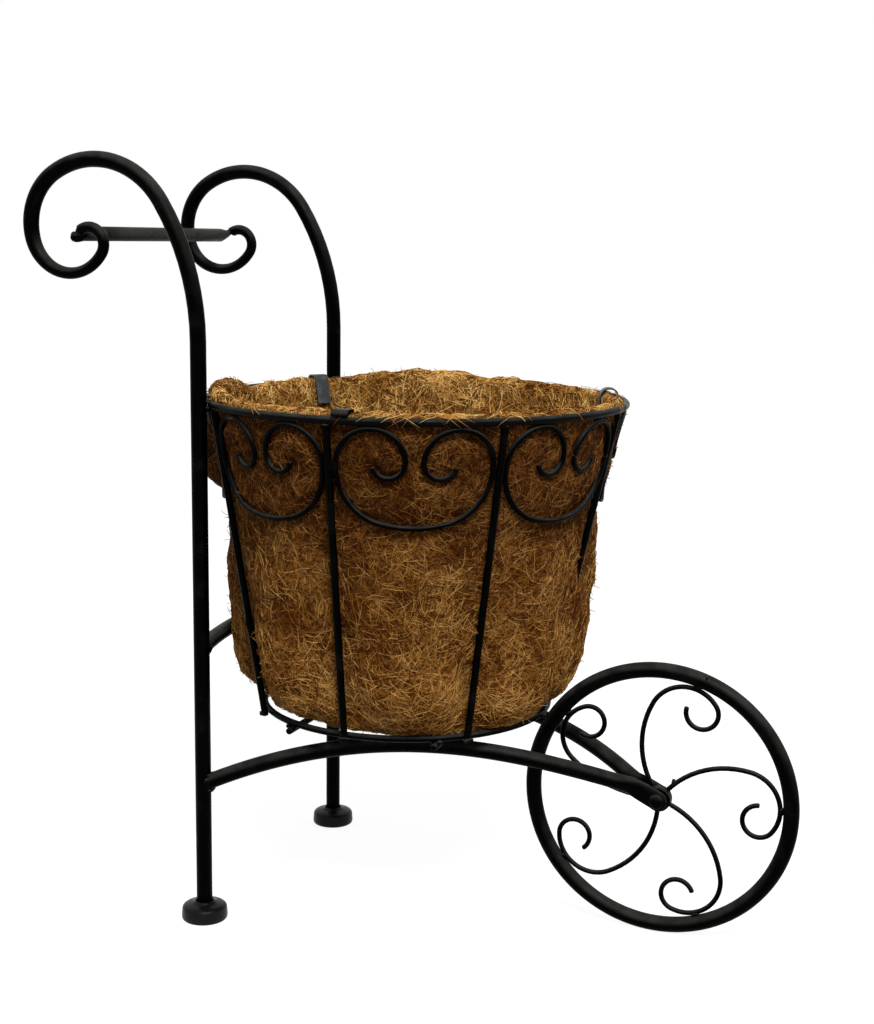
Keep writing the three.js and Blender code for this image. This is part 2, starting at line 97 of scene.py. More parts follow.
def set_sockets(tree, node, inputs):
    """Fills a node's sockets with numbers or links."""
    for socket, value in inputs.items():
        if isinstance(value, bpy.types.NodeSocket):
            tree.links.new(value, node.inputs[socket])
        else:
            node.inputs[socket].default_value = value


def add_node(tree, kind, inputs=None, **settings):
    """Adds a node, sets its properties and fills its sockets."""
    node = tree.nodes.new(kind)
    for key, value in settings.items():
        setattr(node, key, value)
    set_sockets(tree, node, inputs or {})
    return node


def worked(tree, operation, first, second, kind="ShaderNodeMath"):
    """A sum, product or the like of two numbers, or of two vectors if that kind of node is named."""
    return add_node(tree, kind, {0: first, 1: second}, operation=operation).outputs[0]


def spotted(tree, place, scale, detail=3.0, roughness=0.5):
    """Soft spots of a given number to the metre."""
    inputs = {"Vector": place, "Scale": scale, "Detail": detail, "Roughness": roughness}
    return add_node(tree, "ShaderNodeTexNoise", inputs).outputs["Fac"]


def ranged(tree, value, low, high, to_low=0, to_high=1):
    """Stretches a value's range, with soft ends."""
    inputs = {"Value": value, "From Min": low, "From Max": high, "To Min": to_low, "To Max": to_high}
    return add_node(tree, "ShaderNodeMapRange", inputs, interpolation_type="SMOOTHSTEP").outputs["Result"]


def mixed(tree, share, first, second):
    """Blends two colours by a share."""
    return add_node(tree, "ShaderNodeMix", {0: share, 6: first, 7: second}, data_type="RGBA").outputs[2]


def bumped(tree, height, strength, depth, below=None):
    """Turns a height into a bump of a given depth in metres."""
    inputs = {"Height": height, "Strength": strength, "Distance": depth}
    if below is not None:
        inputs["Normal"] = below
    return add_node(tree, "ShaderNodeBump", inputs).outputs["Normal"]


def satin_black(name, black):
    """Sprayed black paint: a fine pebbled skin, uneven gloss, rubbed places, and a lighter grey on what
    faces up that is patchy dust and painted top light.
    """
    material, tree, shader = new_material(name)
    coordinates = add_node(tree, "ShaderNodeTexCoord").outputs
    place = coordinates["Object"]
    facing = add_node(tree, "ShaderNodeSeparateXYZ", {0: coordinates["Normal"]}).outputs["Z"]
    patchy = ranged(tree, spotted(tree, place, *DUST_SPOTS), *SPOT_RANGE, THIN_DUST)
    # Faces that look up get a lighter grey: patchy dust, and painted top light.
    dust = worked(tree, "MULTIPLY", ranged(tree, facing, *DUST_AND_TOP_LIGHT_FACING), patchy)
    rubbed = ranged(tree, spotted(tree, place, *RUBBED_SPOTS), *RUBBED_RANGE)
    runs = bumped(tree, spotted(tree, place, *PAINT_RUNS), *RUN_BUMP)
    set_sockets(tree, shader, {
        "Base Color": mixed(tree, dust, mixed(tree, rubbed, black, WORN_BLACK), DUST_AND_TOP_LIGHT_BLACK),
        "Roughness": ranged(tree, spotted(tree, place, *GLOSS_SPOTS), *SPOT_RANGE, *PAINT_ROUGHNESS),
        "Specular IOR Level": PAINT_GLOSS,
        "Normal": bumped(tree, spotted(tree, place, *PAINT_PEBBLES), *PEBBLE_BUMP, runs)})
    return material


BLACK_PAINT = satin_black("satin_black_paint", PAINT_BLACK)


def arc_chain(start, heading, bends, step):
    """Points of arcs that follow one another without a kink, each a radius and degrees of turn.
    A negative radius turns to the right."""
    points = [Vector(start)]
    heading = math.radians(heading)
    for radius, degrees in bends:
        turn = math.radians(degrees) * (1 if radius > 0 else -1)
        centre = points[-1] + Vector((-math.sin(heading), math.cos(heading))) * radius
        steps = math.ceil(degrees / step)
        for count in range(1, steps + 1):
            angle = heading + turn * count / steps
            points.append(centre + Vector((math.sin(angle), -math.cos(angle))) * radius)
        heading += turn
    return points


def smooth_share(value, low, high):
    share = min(max((value - low) / (high - low), 0), 1)
    return share * share * (3 - 2 * share)


def lengths_along(path):
    """How far each point of a path lies along it, as a share of its length."""
    lengths = [0]
    for before, after in zip(path, path[1:]):
        lengths.append(lengths[-1] + (after - before).length)
    return [length / lengths[-1] for length in lengths]


def rounded_ends(path, widths, rounding):
    """Adds places at a bar's ends so that the edges of its cut ends are rounded."""
    path, widths = list(path), list(widths)
    turns = [math.radians(angle) for angle in EDGE_ANGLES]
    cuts = [2 * rounding * (1 - math.cos(turn)) for turn in turns]
    for _ in range(2):
        tip, inward = path[0], (path[1] - path[0]).normalized()
        wide, deep = widths[0]
        path[:1] = [tip + inward * rounding * (1 - math.sin(turn)) for turn in turns]
        widths[:1] = [(wide - cut, deep - cut) for cut in cuts]
        path.reverse()
        widths.reverse()
    return path, widths


def add_bar(bm, path, widths, across, sides):
    """Draws a bar in an empty mesh: a circle is pushed from place to place along the path. across is
    the direction, or one for each place, that the first of its two widths lies in."""
    shape = verts = edges = first = None
    for index, point in enumerate(path):
        along = (path[min(index + 1, len(path) - 1)] - path[max(index - 1, 0)]).normalized()
        side = across[index] if isinstance(across, list) else across
        side = (side - along * side.dot(along)).normalized()
        turn = Matrix((side, along.cross(side), along)).transposed().to_4x4()
        if shape is None:
            verts = bmesh.ops.create_circle(bm, segments=sides, radius=0.5)["verts"]
            edges = first = bm.edges[:]
        else:
            grown = bmesh.ops.extrude_edge_only(bm, edges=edges)["geom"]
            verts = [item for item in grown if isinstance(item, bmesh.types.BMVert)]
            edges = [item for item in grown if isinstance(item, bmesh.types.BMEdge) and item.is_boundary]
            bmesh.ops.transform(bm, matrix=shape.inverted(), verts=verts)
        shape = Matrix.Translation(point) @ turn @ Matrix.Diagonal((*widths[index], 1, 1))
        bmesh.ops.transform(bm, matrix=shape, verts=verts)
    for end in (first, edges):
        bmesh.ops.edgeloop_fill(bm, edges=end)


def new_object(name, data):
    piece = bpy.data.objects.new(name, data)
    bpy.context.scene.collection.objects.link(piece)
    return piece


def finished(name, bm, material, body, node=None):
    """Closes a mesh, shades it smooth and makes it a piece of the planter."""
    bmesh.ops.remove_doubles(bm, verts=bm.verts, dist=MERGE_GAP)
    bmesh.ops.recalc_face_normals(bm, faces=bm.faces)
    mesh = bpy.data.meshes.new(name)
    bm.to_mesh(mesh)
    bm.free()
    mesh.shade_smooth()
    mesh.set_sharp_from_angle(angle=math.radians(SHARP_ANGLE))
    mesh.materials.append(material)
    piece = new_object(name, mesh)
    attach(piece, body)
    if node:
        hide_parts(node)


def painted_bar(name, path, widths, across, body, node, rounding=EDGE_ROUNDING, sides=BAR_SIDES,
                material=BLACK_PAINT):
    """A bent bar of round steel as a piece of its own. widths is its thickness, or a pair of widths
    for each place of its path."""
    if not isinstance(widths, list):
        widths = [(widths, widths)] * len(path)
    if isinstance(across, list):
        added = len(EDGE_ANGLES) - 1
        across = [across[0]] * added + across + [across[-1]] * added
    path, widths = rounded_ends(path, widths, rounding)
    bm = bmesh.new()
    add_bar(bm, path, widths, across, sides)
    finished(name, bm, material, body, node)


handle_path = [Vector((LEG_X, LEG_FOOT))] + arc_chain((LEG_X, SCROLL_START), 90, HANDLE_BENDS, BEND_STEP)
for word, side in SIDES:
    path = [Vector((point.x, side * HALF_TRACK, point.y)) for point in handle_path]
    sizes = [BAR_THICKNESS * (1 - (1 - TIP_SHARE) * smooth_share(share, TAPER_START, TAPER_END))
             for share in lengths_along(path)]
    painted_bar(f"{word}_handle_and_leg", path, [(size, size) for size in sizes], ACROSS, "frame",
                f"{word}_side_bar", TIP_ROUNDING)

# Grip bar: a straight round bar welded between the tips of the two handle curls. Its far end was
# pinched before it was welded, and its paint is a lighter grey than the rest of the frame.
GRIP_THICKNESS = 0.0088
GRIP_EDGE = 0.0014
PINCH_LENGTH = 0.008
PINCHED_WIDTHS = (0.0064, 0.005)
PINCH_SHIFT_SHARE = 0.6
GRIP_GREY_BLACK = (0.045, 0.045, 0.039, 1)


def middle(node):
    low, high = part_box(node)
    return (low + high) / 2


grip = middle("grip_bar")
grip_low, grip_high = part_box("grip_bar")
grip_path = [Vector((grip.x, y, grip.z)) for y in (grip_low[1], grip_high[1] - PINCH_LENGTH, grip_high[1])]
curl_tip = handle_path[-1]
grip_path[-1] += Vector((curl_tip.x - grip.x, 0, curl_tip.y - grip.z)) * PINCH_SHIFT_SHARE
grip_widths = [(GRIP_THICKNESS, GRIP_THICKNESS)] * 2 + [PINCHED_WIDTHS]
painted_bar("handle_crossbar", grip_path, grip_widths, ALONG, "frame", "grip_bar", GRIP_EDGE,
            material=satin_black("grip_grey_paint", GRIP_GREY_BLACK))

# Brace between the legs: one round bar, bowed backwards to pass behind the basket, its ends welded
# to the inner sides of the legs.
BRACE_HEIGHT = 0.1687
BRACE_STEPS = 28

brace_bow = LEG_X - BAR_THICKNESS / 2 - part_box("leg_brace")[0][0]
brace_path = []
for step in range(BRACE_STEPS + 1):
    sideways = 2 * step / BRACE_STEPS - 1
    brace_path.append(Vector((LEG_X - brace_bow * (1 - sideways ** 2), sideways * HALF_TRACK, BRACE_HEIGHT)))
painted_bar("brace_between_legs", brace_path, BAR_THICKNESS, UP, "frame", "leg_brace")

# Rails: a round bar on each side, arched from the leg to the wheel. It is welded to the leg behind.
# It bends in more and more towards the hub, where its end is hammered flat and rounded for the rivet.
RAIL_REAR_HEIGHT = 0.085
RAIL_CROWN_HEIGHT = 0.11525
RAIL_TAB_THICKNESS = 0.003
RAIL_TAB_DEPTH = 0.0124
RAIL_TAB_LENGTH = 0.016
RAIL_TAB_REACH = 0.0062
RAIL_SPREAD = 0.017
RAIL_BEND_POWER = 6
RAIL_STEPS = 56
TAB_STEPS = 8
TAB_END_ANGLES = range(9, 82, 9)
TAB_END_LIMIT = 0.99
HAMMERED_EDGE = 0.0004

hub_centre = middle("wheel_hub")
rail_tab_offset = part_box("left_rail")[0][1] + RAIL_TAB_THICKNESS / 2
tab_start = hub_centre.x - RAIL_TAB_LENGTH


def rail_height(x):
    share = (x - LEG_X) / (hub_centre.x - LEG_X)
    chord = RAIL_REAR_HEIGHT + (hub_centre.z - RAIL_REAR_HEIGHT) * share
    rise = RAIL_CROWN_HEIGHT - (RAIL_REAR_HEIGHT + hub_centre.z) / 2
    return chord + rise * 4 * share * (1 - share)


def rail_point(share, side):
    """A place on a rail, from its leg at 0 to the start of its flat tab at 1."""
    x = LEG_X + (tab_start - LEG_X) * share
    straight = HALF_TRACK + (rail_tab_offset - HALF_TRACK) * share
    spread = RAIL_SPREAD * (share - share ** RAIL_BEND_POWER)
    return Vector((x, side * (straight + spread), rail_height(x)))


for word, side in SIDES:
    path = [rail_point(step / RAIL_STEPS, side) for step in range(RAIL_STEPS)]
    for step in range(TAB_STEPS + 1):
        x = tab_start + RAIL_TAB_LENGTH * step / TAB_STEPS
        path.append(Vector((x, side * rail_tab_offset, rail_height(x))))
    for angle in TAB_END_ANGLES:
        x = hub_centre.x + RAIL_TAB_REACH * math.sin(math.radians(angle))
        path.append(Vector((x, side * rail_tab_offset, hub_centre.z)))
    widths = []
    for point in path:
        flat = smooth_share(point.x, tab_start - RAIL_TAB_LENGTH / 2, tab_start + RAIL_TAB_LENGTH / 2)
        past_hub = min(max((point.x - hub_centre.x) / RAIL_TAB_REACH, 0), TAB_END_LIMIT)
        wide = BAR_THICKNESS + (RAIL_TAB_THICKNESS - BAR_THICKNESS) * flat
        deep = BAR_THICKNESS + (RAIL_TAB_DEPTH - BAR_THICKNESS) * flat
        widths.append((wide, deep * math.sqrt(1 - past_hub ** 2)))
    painted_bar(f"{word}_wheel_rail", path, widths, ACROSS, "frame", f"{word}_rail", HAMMERED_EDGE)

# Foot caps: two moulded rubber caps pushed onto the legs, with a low round foot, a sloping shoulder
# and a thin lip that grips the bar.
CAP_PROFILE = ((0.0124, 0.0), (0.0131, 0.0001), (0.0136, 0.0006), (0.01385, 0.0014), (0.0139, 0.0026),
               (0.01375, 0.005), (0.01355, 0.0069), (0.0133, 0.0077), (0.0128, 0.0083), (0.0121, 0.0088),
               (0.0100, 0.0094), (0.0079, 0.0099), (0.0068, 0.0103), (0.0063, 0.0108), (0.0059, 0.0113),
               (0.0055, 0.0114), (0.0052, 0.0112), (0.00505, 0.0106), (0.00505, 0.003))
CAP_STEPS = 72
RUBBER_BLACK = (0.0042, 0.0044, 0.0042, 1)
DUSTY_RUBBER = (0.011, 0.011, 0.01, 1)
RUBBER_GLOSS = 0.1
RUBBER_ROUGHNESS = (0.26, 0.42)
RUBBER_DUST = (260, 5, 0.65)
RUBBER_DUST_RANGE = (0.48, 0.75)
RUBBER_SPOTS = (420, 4)
RUBBER_GRAIN = (2600, 3)
RUBBER_BUMP = (0.25, 0.00008)


def object_place(tree):
    return add_node(tree, "ShaderNodeTexCoord").outputs["Object"]


def moulded_rubber():
    """Matte black rubber with a faint grain and dust in it."""
    material, tree, shader = new_material("moulded_black_rubber")
    place = object_place(tree)
    dusty = ranged(tree, spotted(tree, place, *RUBBER_DUST), *RUBBER_DUST_RANGE)
    set_sockets(tree, shader, {
        "Base Color": mixed(tree, dusty, RUBBER_BLACK, DUSTY_RUBBER),
        "Roughness": ranged(tree, spotted(tree, place, *RUBBER_SPOTS), *SPOT_RANGE, *RUBBER_ROUGHNESS),
        "Specular IOR Level": RUBBER_GLOSS,
        "Normal": bumped(tree, spotted(tree, place, *RUBBER_GRAIN), *RUBBER_BUMP)})
    return material


RUBBER = moulded_rubber()


def draw_outline(bm, outline, y=0):
    """Joins places (x, z) into an open outline, and returns its edges."""
    verts = [bm.verts.new((x, y, z)) for x, z in outline]
    return [bm.edges.new(pair) for pair in zip(verts, verts[1:])]


def spin_round(bm, steps):
    """Spins an outline round the upright through the origin."""
    bmesh.ops.spin(bm, geom=bm.verts[:] + bm.edges[:], cent=(0, 0, 0), axis=(0, 0, 1),
                   angle=2 * math.pi, steps=steps, use_merge=True)


def set_on_axis(bm, centre, axis):
    """Turns a round piece from the upright to its axis, and puts it in its place."""
    turn = UP.rotation_difference(axis).to_matrix().to_4x4()
    bmesh.ops.transform(bm, matrix=Matrix.Translation(centre) @ turn, verts=bm.verts)


def turned(name, profile, centre, axis, steps, material, body, node):
    """Spins an outline of (radius, place along the axis) into a closed round piece."""
    bm = bmesh.new()
    draw_outline(bm, [(0, profile[0][1]), *profile, (0, profile[-1][1])])
    spin_round(bm, steps)
    set_on_axis(bm, centre, axis)
    finished(name, bm, material, body, node)


for word, side in SIDES:
    turned(f"{word}_rubber_foot", CAP_PROFILE, Vector((LEG_X, side * HALF_TRACK, 0)), UP, CAP_STEPS,
           RUBBER, "frame", f"{word}_foot_cap")

# Basket rings: two hoops of round wire, butt welded. The top one carries the liner's rim, the bottom
# one holds the ribs together round the liner's foot.
TOP_RING_WIRE = 0.0045
BOTTOM_RING_WIRE = 0.004
RING_SHEEN_BLACK = (0.003, 0.003, 0.0027, 1)
HOOP_STEPS = 180
WIRE_SIDES = 16


def hoop(name, centre, radius, wire, axis, body, node, sides=WIRE_SIDES, material=BLACK_PAINT):
    """A circle of wire, spun about its middle."""
    bm = bmesh.new()
    upright = Matrix.Translation((radius, 0, 0)) @ Matrix.Rotation(math.pi / 2, 4, "X")
    bmesh.ops.create_circle(bm, segments=sides, radius=wire / 2, matrix=upright)
    spin_round(bm, HOOP_STEPS)
    set_on_axis(bm, centre, axis)
    finished(name, bm, material, body, node)


def breadth(node):
    """How far a node reaches from its near side to its far side."""
    low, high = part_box(node)
    return high[1] - low[1]


TOP_RING = middle("basket_top_ring")
BOTTOM_RING = middle("basket_bottom_ring")
TOP_RING_RADIUS = (breadth("basket_top_ring") - TOP_RING_WIRE) / 2
BOTTOM_RING_RADIUS = (breadth("basket_bottom_ring") - BOTTOM_RING_WIRE) / 2
# The top hoop's paint is a lighter black than the rest: a painted sheen.
hoop("basket_upper_hoop", TOP_RING, TOP_RING_RADIUS, TOP_RING_WIRE, UP, "frame", "basket_top_ring",
     material=satin_black("ring_sheen_black_paint", RING_SHEEN_BLACK))
hoop("basket_lower_hoop", BOTTOM_RING, BOTTOM_RING_RADIUS, BOTTOM_RING_WIRE, UP, "frame",
     "basket_bottom_ring")

# Ribs: eight straight wires from under the top ring to the outside of the bottom ring, spot welded.
# The front one stands on the bottom ring, to leave room for the wheel.
RIB_COUNT = 8
RIB_WIRE = 0.0042
RIB_OVERHANG = 0.0024
SEAT_GAP = 0.0003


def basket_radius(height):
    share = (TOP_RING.z - min(height, TOP_RING.z)) / (TOP_RING.z - BOTTOM_RING.z)
    return TOP_RING_RADIUS + (BOTTOM_RING_RADIUS - TOP_RING_RADIUS) * share


def basket_middle(height):
    """Where the middle of the slanted basket lies at a height."""
    share = (TOP_RING.z - min(height, TOP_RING.z)) / (TOP_RING.z - BOTTOM_RING.z)
    return TOP_RING.x + (BOTTOM_RING.x - TOP_RING.x) * share


def basket_point(angle, height, outward=0.0):
    radius = basket_radius(height) + outward
    return Vector((basket_middle(height) + radius * math.cos(angle), radius * math.sin(angle), height))


rib_feet = []
for index in range(RIB_COUNT):
    angle = 2 * math.pi * index / RIB_COUNT
    outward = BOTTOM_RING_WIRE / 2 + SEAT_GAP + RIB_WIRE / 2 if index else 0
    ring_point = basket_point(angle, TOP_RING.z)
    low_point = basket_point(angle, BOTTOM_RING.z, outward)
    down = (low_point - ring_point).normalized()
    past_ring = RIB_OVERHANG if index else -BOTTOM_RING_WIRE / 2 - SEAT_GAP
    path = [ring_point + down * (TOP_RING_WIRE / 2 + SEAT_GAP), low_point + down * past_ring]
    painted_bar(f"basket_upright_{index + 1}", path, RIB_WIRE, UP.cross(down), "frame",
                f"basket_rib_{index + 1}")
    rib_feet.append((ring_point, low_point, down))

# Basket scrolls: in each panel a thin wire bent into a wide C, its two curls hanging under the top ring
# and its sides welded to the ribs.
SCROLL_WIRE = 0.003
SCROLL_DROP = 0.061
SCROLL_BEND_SHARES = ((1.29, 13), (0.585, 81), (0.33, 171), (0.157, 168))
SCROLL_BEND_STEP = 6

basket_slope = (TOP_RING_RADIUS - BOTTOM_RING_RADIUS) / (TOP_RING.z - BOTTOM_RING.z)
upright_share = math.cos(math.atan(basket_slope))
raw = arc_chain((0, 0), 0, [(share * SCROLL_DROP, degrees) for share, degrees in SCROLL_BEND_SHARES],
                SCROLL_BEND_STEP)
scroll_top = TOP_RING.z - (TOP_RING_WIRE / 2 + SEAT_GAP + SCROLL_WIRE / 2) * upright_share
scroll_bottom = TOP_RING.z - SCROLL_DROP * upright_share
widest = max(raw, key=lambda point: point.x)
tall_share = (scroll_top - scroll_bottom) / max(point.y for point in raw)
panel_half = math.pi / RIB_COUNT * basket_radius(scroll_bottom + widest.y * tall_share)
wide_share = (panel_half - RIB_WIRE / 2 - SEAT_GAP - SCROLL_WIRE / 2) / widest.x
half_scroll = [(point.x * wide_share, scroll_bottom + point.y * tall_share) for point in raw]
whole_scroll = [(-sideways, height) for sideways, height in reversed(half_scroll[1:])] + half_scroll
scroll_crowns = []
for index in range(RIB_COUNT):
    panel = 2 * math.pi * (index + 0.5) / RIB_COUNT
    turns = [panel + sideways / basket_radius(height) for sideways, height in whole_scroll]
    path = [basket_point(turn, height) for turn, (_, height) in zip(turns, whole_scroll)]
    outward = [Vector((math.cos(turn), math.sin(turn), -basket_slope)).normalized() for turn in turns]
    painted_bar(f"basket_scroll_wire_{index + 1}", path, SCROLL_WIRE, outward, "frame",
                f"basket_scroll_{index + 1}", sides=WIRE_SIDES)
    half = len(path) // 2
    scroll_crowns += [max(part, key=lambda point: point.z) for part in (path[half:], path[:half])]

# Floor wires: two straight wires under the basket, welded to the bottom ring. The front one rests on
# the rails and ties the basket to them.
FLOOR_WIRE = 0.004
FLOOR_WIRES = ("front_floor_wire", "rear_floor_wire")

for node in FLOOR_WIRES:
    at = middle(node)
    path = [Vector((at.x, end[1], at.z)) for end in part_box(node)]
    painted_bar(f"{node}_steel", path, FLOOR_WIRE, ALONG, "frame", node)

# Wheel: a hoop of round bar, a short steel hub, and five scrolled wire spokes. Each spoke is welded to
# the hub at one end and to the rim where its outer bend touches it. One was bent flatter than the rest.
WHEEL_RIM = 0.0094
HUB_RADIUS = 0.0075
HUB_BORE_RADIUS = 0.0028
HUB_EDGE = 0.0006
HUB_STEPS = 48
SPOKE_COUNT = 5
SPOKE_WIRE = 0.003
SPOKE_START = 121
SPOKE_BEND_SHARES = ((0.715, 59), (0.297, 118), (0.131, 233))
SPOKE_BEND_STEP = 5
SPOKE_TRIES = 40
FLAT_SPOKE = 1
FLAT_SPOKE_START = 180
FLAT_SPOKE_BEND_SHARES = ((0.97, 42), (0.27, 122), (0.131, 233))
RIM_BEAD_LENGTH = 0.005
HUB_BEAD_LENGTH = 0.0036

wheel_low, wheel_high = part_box("wheel_rim")
wheel_radius = (wheel_high[2] - wheel_low[2] - WHEEL_RIM) / 2
hoop("wheel_hoop", hub_centre, wheel_radius, WHEEL_RIM, ACROSS, "wheel", "wheel_rim", BAR_SIDES)


def both_ends(upper):
    """An outline whose lower half is the mirror image of its upper half."""
    return [(radius, -along) for radius, along in reversed(upper)] + upper


hub_half = breadth("wheel_hub") / 2
hub_upper = [(HUB_RADIUS, hub_half - HUB_EDGE), (HUB_RADIUS - HUB_EDGE, hub_half),
             (HUB_BORE_RADIUS, hub_half)]
turned("wheel_hub_steel", both_ends(hub_upper), hub_centre, ACROSS, HUB_STEPS, BLACK_PAINT, "wheel",
       "wheel_hub")

spoke_reach = wheel_radius - WHEEL_RIM / 2 - SEAT_GAP - SPOKE_WIRE / 2
spoke_foot = HUB_RADIUS + SEAT_GAP


def spoke_outline(bend_shares):
    """A spoke's bends about the hub, scaled so that the outer one just reaches the rim."""
    scale = spoke_reach
    for _ in range(SPOKE_TRIES):
        bends = [(-share * scale, turn) for share, turn in bend_shares]
        outline = arc_chain((spoke_foot, 0), 0, bends, SPOKE_BEND_STEP)
        furthest = max(outline, key=lambda point: point.length)
        scale *= (spoke_reach - spoke_foot) / (furthest.length - spoke_foot)
    return outline, furthest


def on_wheel(point, y=0):
    """A place on the wheel, from its place in the flat drawing of the wheel."""
    return hub_centre + Vector((point.x, y, point.y))


spoke_welds = []
for index in range(SPOKE_COUNT):
    is_flat = index == FLAT_SPOKE
    spoke, furthest = spoke_outline(FLAT_SPOKE_BEND_SHARES if is_flat else SPOKE_BEND_SHARES)
    start = FLAT_SPOKE_START if is_flat else SPOKE_START + 360 * index / SPOKE_COUNT
    turn = Matrix.Rotation(math.radians(start), 2)
    painted_bar(f"wheel_spoke_wire_{index + 1}", [on_wheel(turn @ point) for point in spoke], SPOKE_WIRE,
                ACROSS, "wheel", f"wheel_spoke_{index + 1}", sides=WIRE_SIDES)
    touch = turn @ furthest
    spoke_welds.append((touch, touch.normalized(), RIM_BEAD_LENGTH))
    spoke_welds.append((turn @ Vector((spoke_foot, 0)), turn @ Vector((-1, 0)), HUB_BEAD_LENGTH))

# Axle: one steel rivet through both rails and the hub, its heads domed over.
RIVET_RADIUS = 0.0025
RIVET_HEAD_RADIUS = 0.0045
RIVET_HEAD_HEIGHT = 0.0022
RIVET_STEPS = 40


def arc_places(centre, radii, angles):
    """Places on an arc about a centre, one for each of some angles in degrees."""
    turns = [math.radians(angle) for angle in angles]
    return [(centre[0] + radii[0] * math.cos(turn), centre[1] + radii[1] * math.sin(turn)) for turn in turns]


rivet_neck = breadth("axle_rivet") / 2 - RIVET_HEAD_HEIGHT
dome = arc_places((0, rivet_neck), (RIVET_HEAD_RADIUS, RIVET_HEAD_HEIGHT), range(0, 90, 10))
turned("axle_rivet_steel", both_ends([(RIVET_RADIUS, rivet_neck), *dome]), hub_centre, ACROSS, RIVET_STEPS,
       BLACK_PAINT, "frame", "axle_rivet")

# Weld beads: small lumps of melted steel where the bars and wires were joined, painted over with them.
# A joint's beads each have their place beside the joint, the direction that they run in, and their size.
BEAD_LUMPS = 0.28
BEAD_GRAIN = 3.1
RIB_TOP_BEAD = (0.0056, 0.0042, 0.003)
RIB_TOP_DROP = 0.0028
RIB_FOOT_BEAD = (0.0062, 0.0028, 0.003)
RIB_FOOT_PLACE = (0.0006, 0.0018)
CROWN_BEAD = (0.0058, 0.003, 0.0026)
CROWN_RISE = 0.0016
BRACE_JOINT_BACK = 0.0016
BRACE_JOINT_SHARE = 0.9
BRACE_BEADS = (((0, 0, 0.0042), ALONG, (0.0082, 0.0044, 0.0034)),
               ((0, 0, -0.0042), ALONG, (0.0078, 0.0042, 0.0034)),
               ((0.0042, 0, 0), UP, (0.0078, 0.0034, 0.0038)))
RAIL_JOINT = (0.0042, -0.0018, 0.0012)
RAIL_BEADS = (((0, 0, 0.0044), ACROSS, (0.009, 0.0042, 0.0036)),
              ((0, 0, -0.0046), ACROSS, (0.0086, 0.0042, 0.0034)),
              ((0.0002, 0.0046, 0), UP, (0.0082, 0.0036, 0.0036)))
RING_BEADS = ((0.002, (0.009, 0.0044, 0.0036)), (-0.0022, (0.0084, 0.0042, 0.0034)))
TIP_BEADS = {-1: (((-0.0014, 0, -0.0016), ALONG, (0.0084, 0.0044, 0.0078)),
                  ((-0.0034, 0.0008, -0.0036), ALONG, (0.0094, 0.0056, 0.0066))),
             1: (((-0.001, 0, -0.0002), ALONG, (0.0054, 0.004, 0.0044)),)}
FLOOR_WIRE_BEADS = (((0.0022, 0, 0), ACROSS, (0.005, 0.0032, 0.0032)),
                    ((-0.0022, 0, 0), ACROSS, (0.005, 0.0032, 0.0032)))
WIRE_ON_RAIL_BEADS = (((0.0022, 0, 0), ACROSS, (0.006, 0.0032, 0.003)),
                      ((-0.0022, 0, 0), ACROSS, (0.006, 0.0032, 0.003)))
WIRE_ON_RAIL_GAP = 0.0004
SPOKE_BEAD_OUT = 0.001
SPOKE_BEAD_ASIDE = 0.0008
SPOKE_BEAD_WIDTH = 0.0028
SPOKE_BEAD_HEIGHT = 0.0024
HUB_NIB_PLACE = (0.0062, 0.0006)
HUB_NIB = (0.0042, 0.0026, 0.003)
SEAM_ANGLE = 71
SEAM_PLACE = (0.0036, -0.0022)
SEAM_BEAD = (0.0054, 0.0016, 0.0026)

random.seed(11)


def add_bead(bm, place, along, size):
    """One bead: a lumpy ball drawn out along the joint, with its length, width and height."""
    verts = bmesh.ops.create_icosphere(bm, subdivisions=3, radius=0.5)["verts"]
    shift = Vector([random.uniform(0, 9) for _ in range(3)])
    for vert in verts:
        vert.co *= 1 + BEAD_LUMPS * noise.noise(vert.co * BEAD_GRAIN + shift)
    turn = ALONG.rotation_difference(along).to_matrix().to_4x4()
    shape = Matrix.Translation(place) @ turn @ Matrix.Diagonal((*size, 1))
    bmesh.ops.transform(bm, matrix=shape, verts=verts)


def add_beads(bm, joint, beads, side=1):
    """The beads of one joint, with their places turned over on the near side."""
    for (x, y, z), along, size in beads:
        add_bead(bm, joint + Vector((x, side * y, z)), along, size)


bm = bmesh.new()
for ring_point, low_point, down in rib_feet:
    around = UP.cross(down).normalized()
    add_bead(bm, ring_point + down * RIB_TOP_DROP, around, RIB_TOP_BEAD)
    foot = low_point + down * RIB_FOOT_PLACE[0] - down.cross(around) * RIB_FOOT_PLACE[1]
    add_bead(bm, foot, around, RIB_FOOT_BEAD)
for crown in scroll_crowns:
    around = Vector((-crown.y, crown.x - TOP_RING.x, 0)).normalized()
    add_bead(bm, crown + UP * CROWN_RISE, around, CROWN_BEAD)
for _, side in SIDES:
    leg = Vector((LEG_X, side * HALF_TRACK, 0))
    inward = -side * BAR_THICKNESS / 2 * BRACE_JOINT_SHARE
    add_beads(bm, leg + UP * BRACE_HEIGHT + Vector((-BRACE_JOINT_BACK, inward, 0)), BRACE_BEADS)
    rail_joint = Vector((RAIL_JOINT[0], side * RAIL_JOINT[1], RAIL_REAR_HEIGHT + RAIL_JOINT[2]))
    add_beads(bm, leg + rail_joint, RAIL_BEADS, side)
    ring_touch = (TOP_RING - Vector((LEG_X, side * HALF_TRACK, TOP_RING.z))).normalized()
    joint = leg + UP * TOP_RING.z + ring_touch * (BAR_THICKNESS / 2)
    for rise, size in RING_BEADS:
        add_bead(bm, joint + UP * rise, UP.cross(ring_touch), size)
    tip_y = side * (HALF_TRACK - BAR_THICKNESS * TIP_SHARE / 2)
    add_beads(bm, Vector((curl_tip.x, tip_y, curl_tip.y)), TIP_BEADS[side], side)
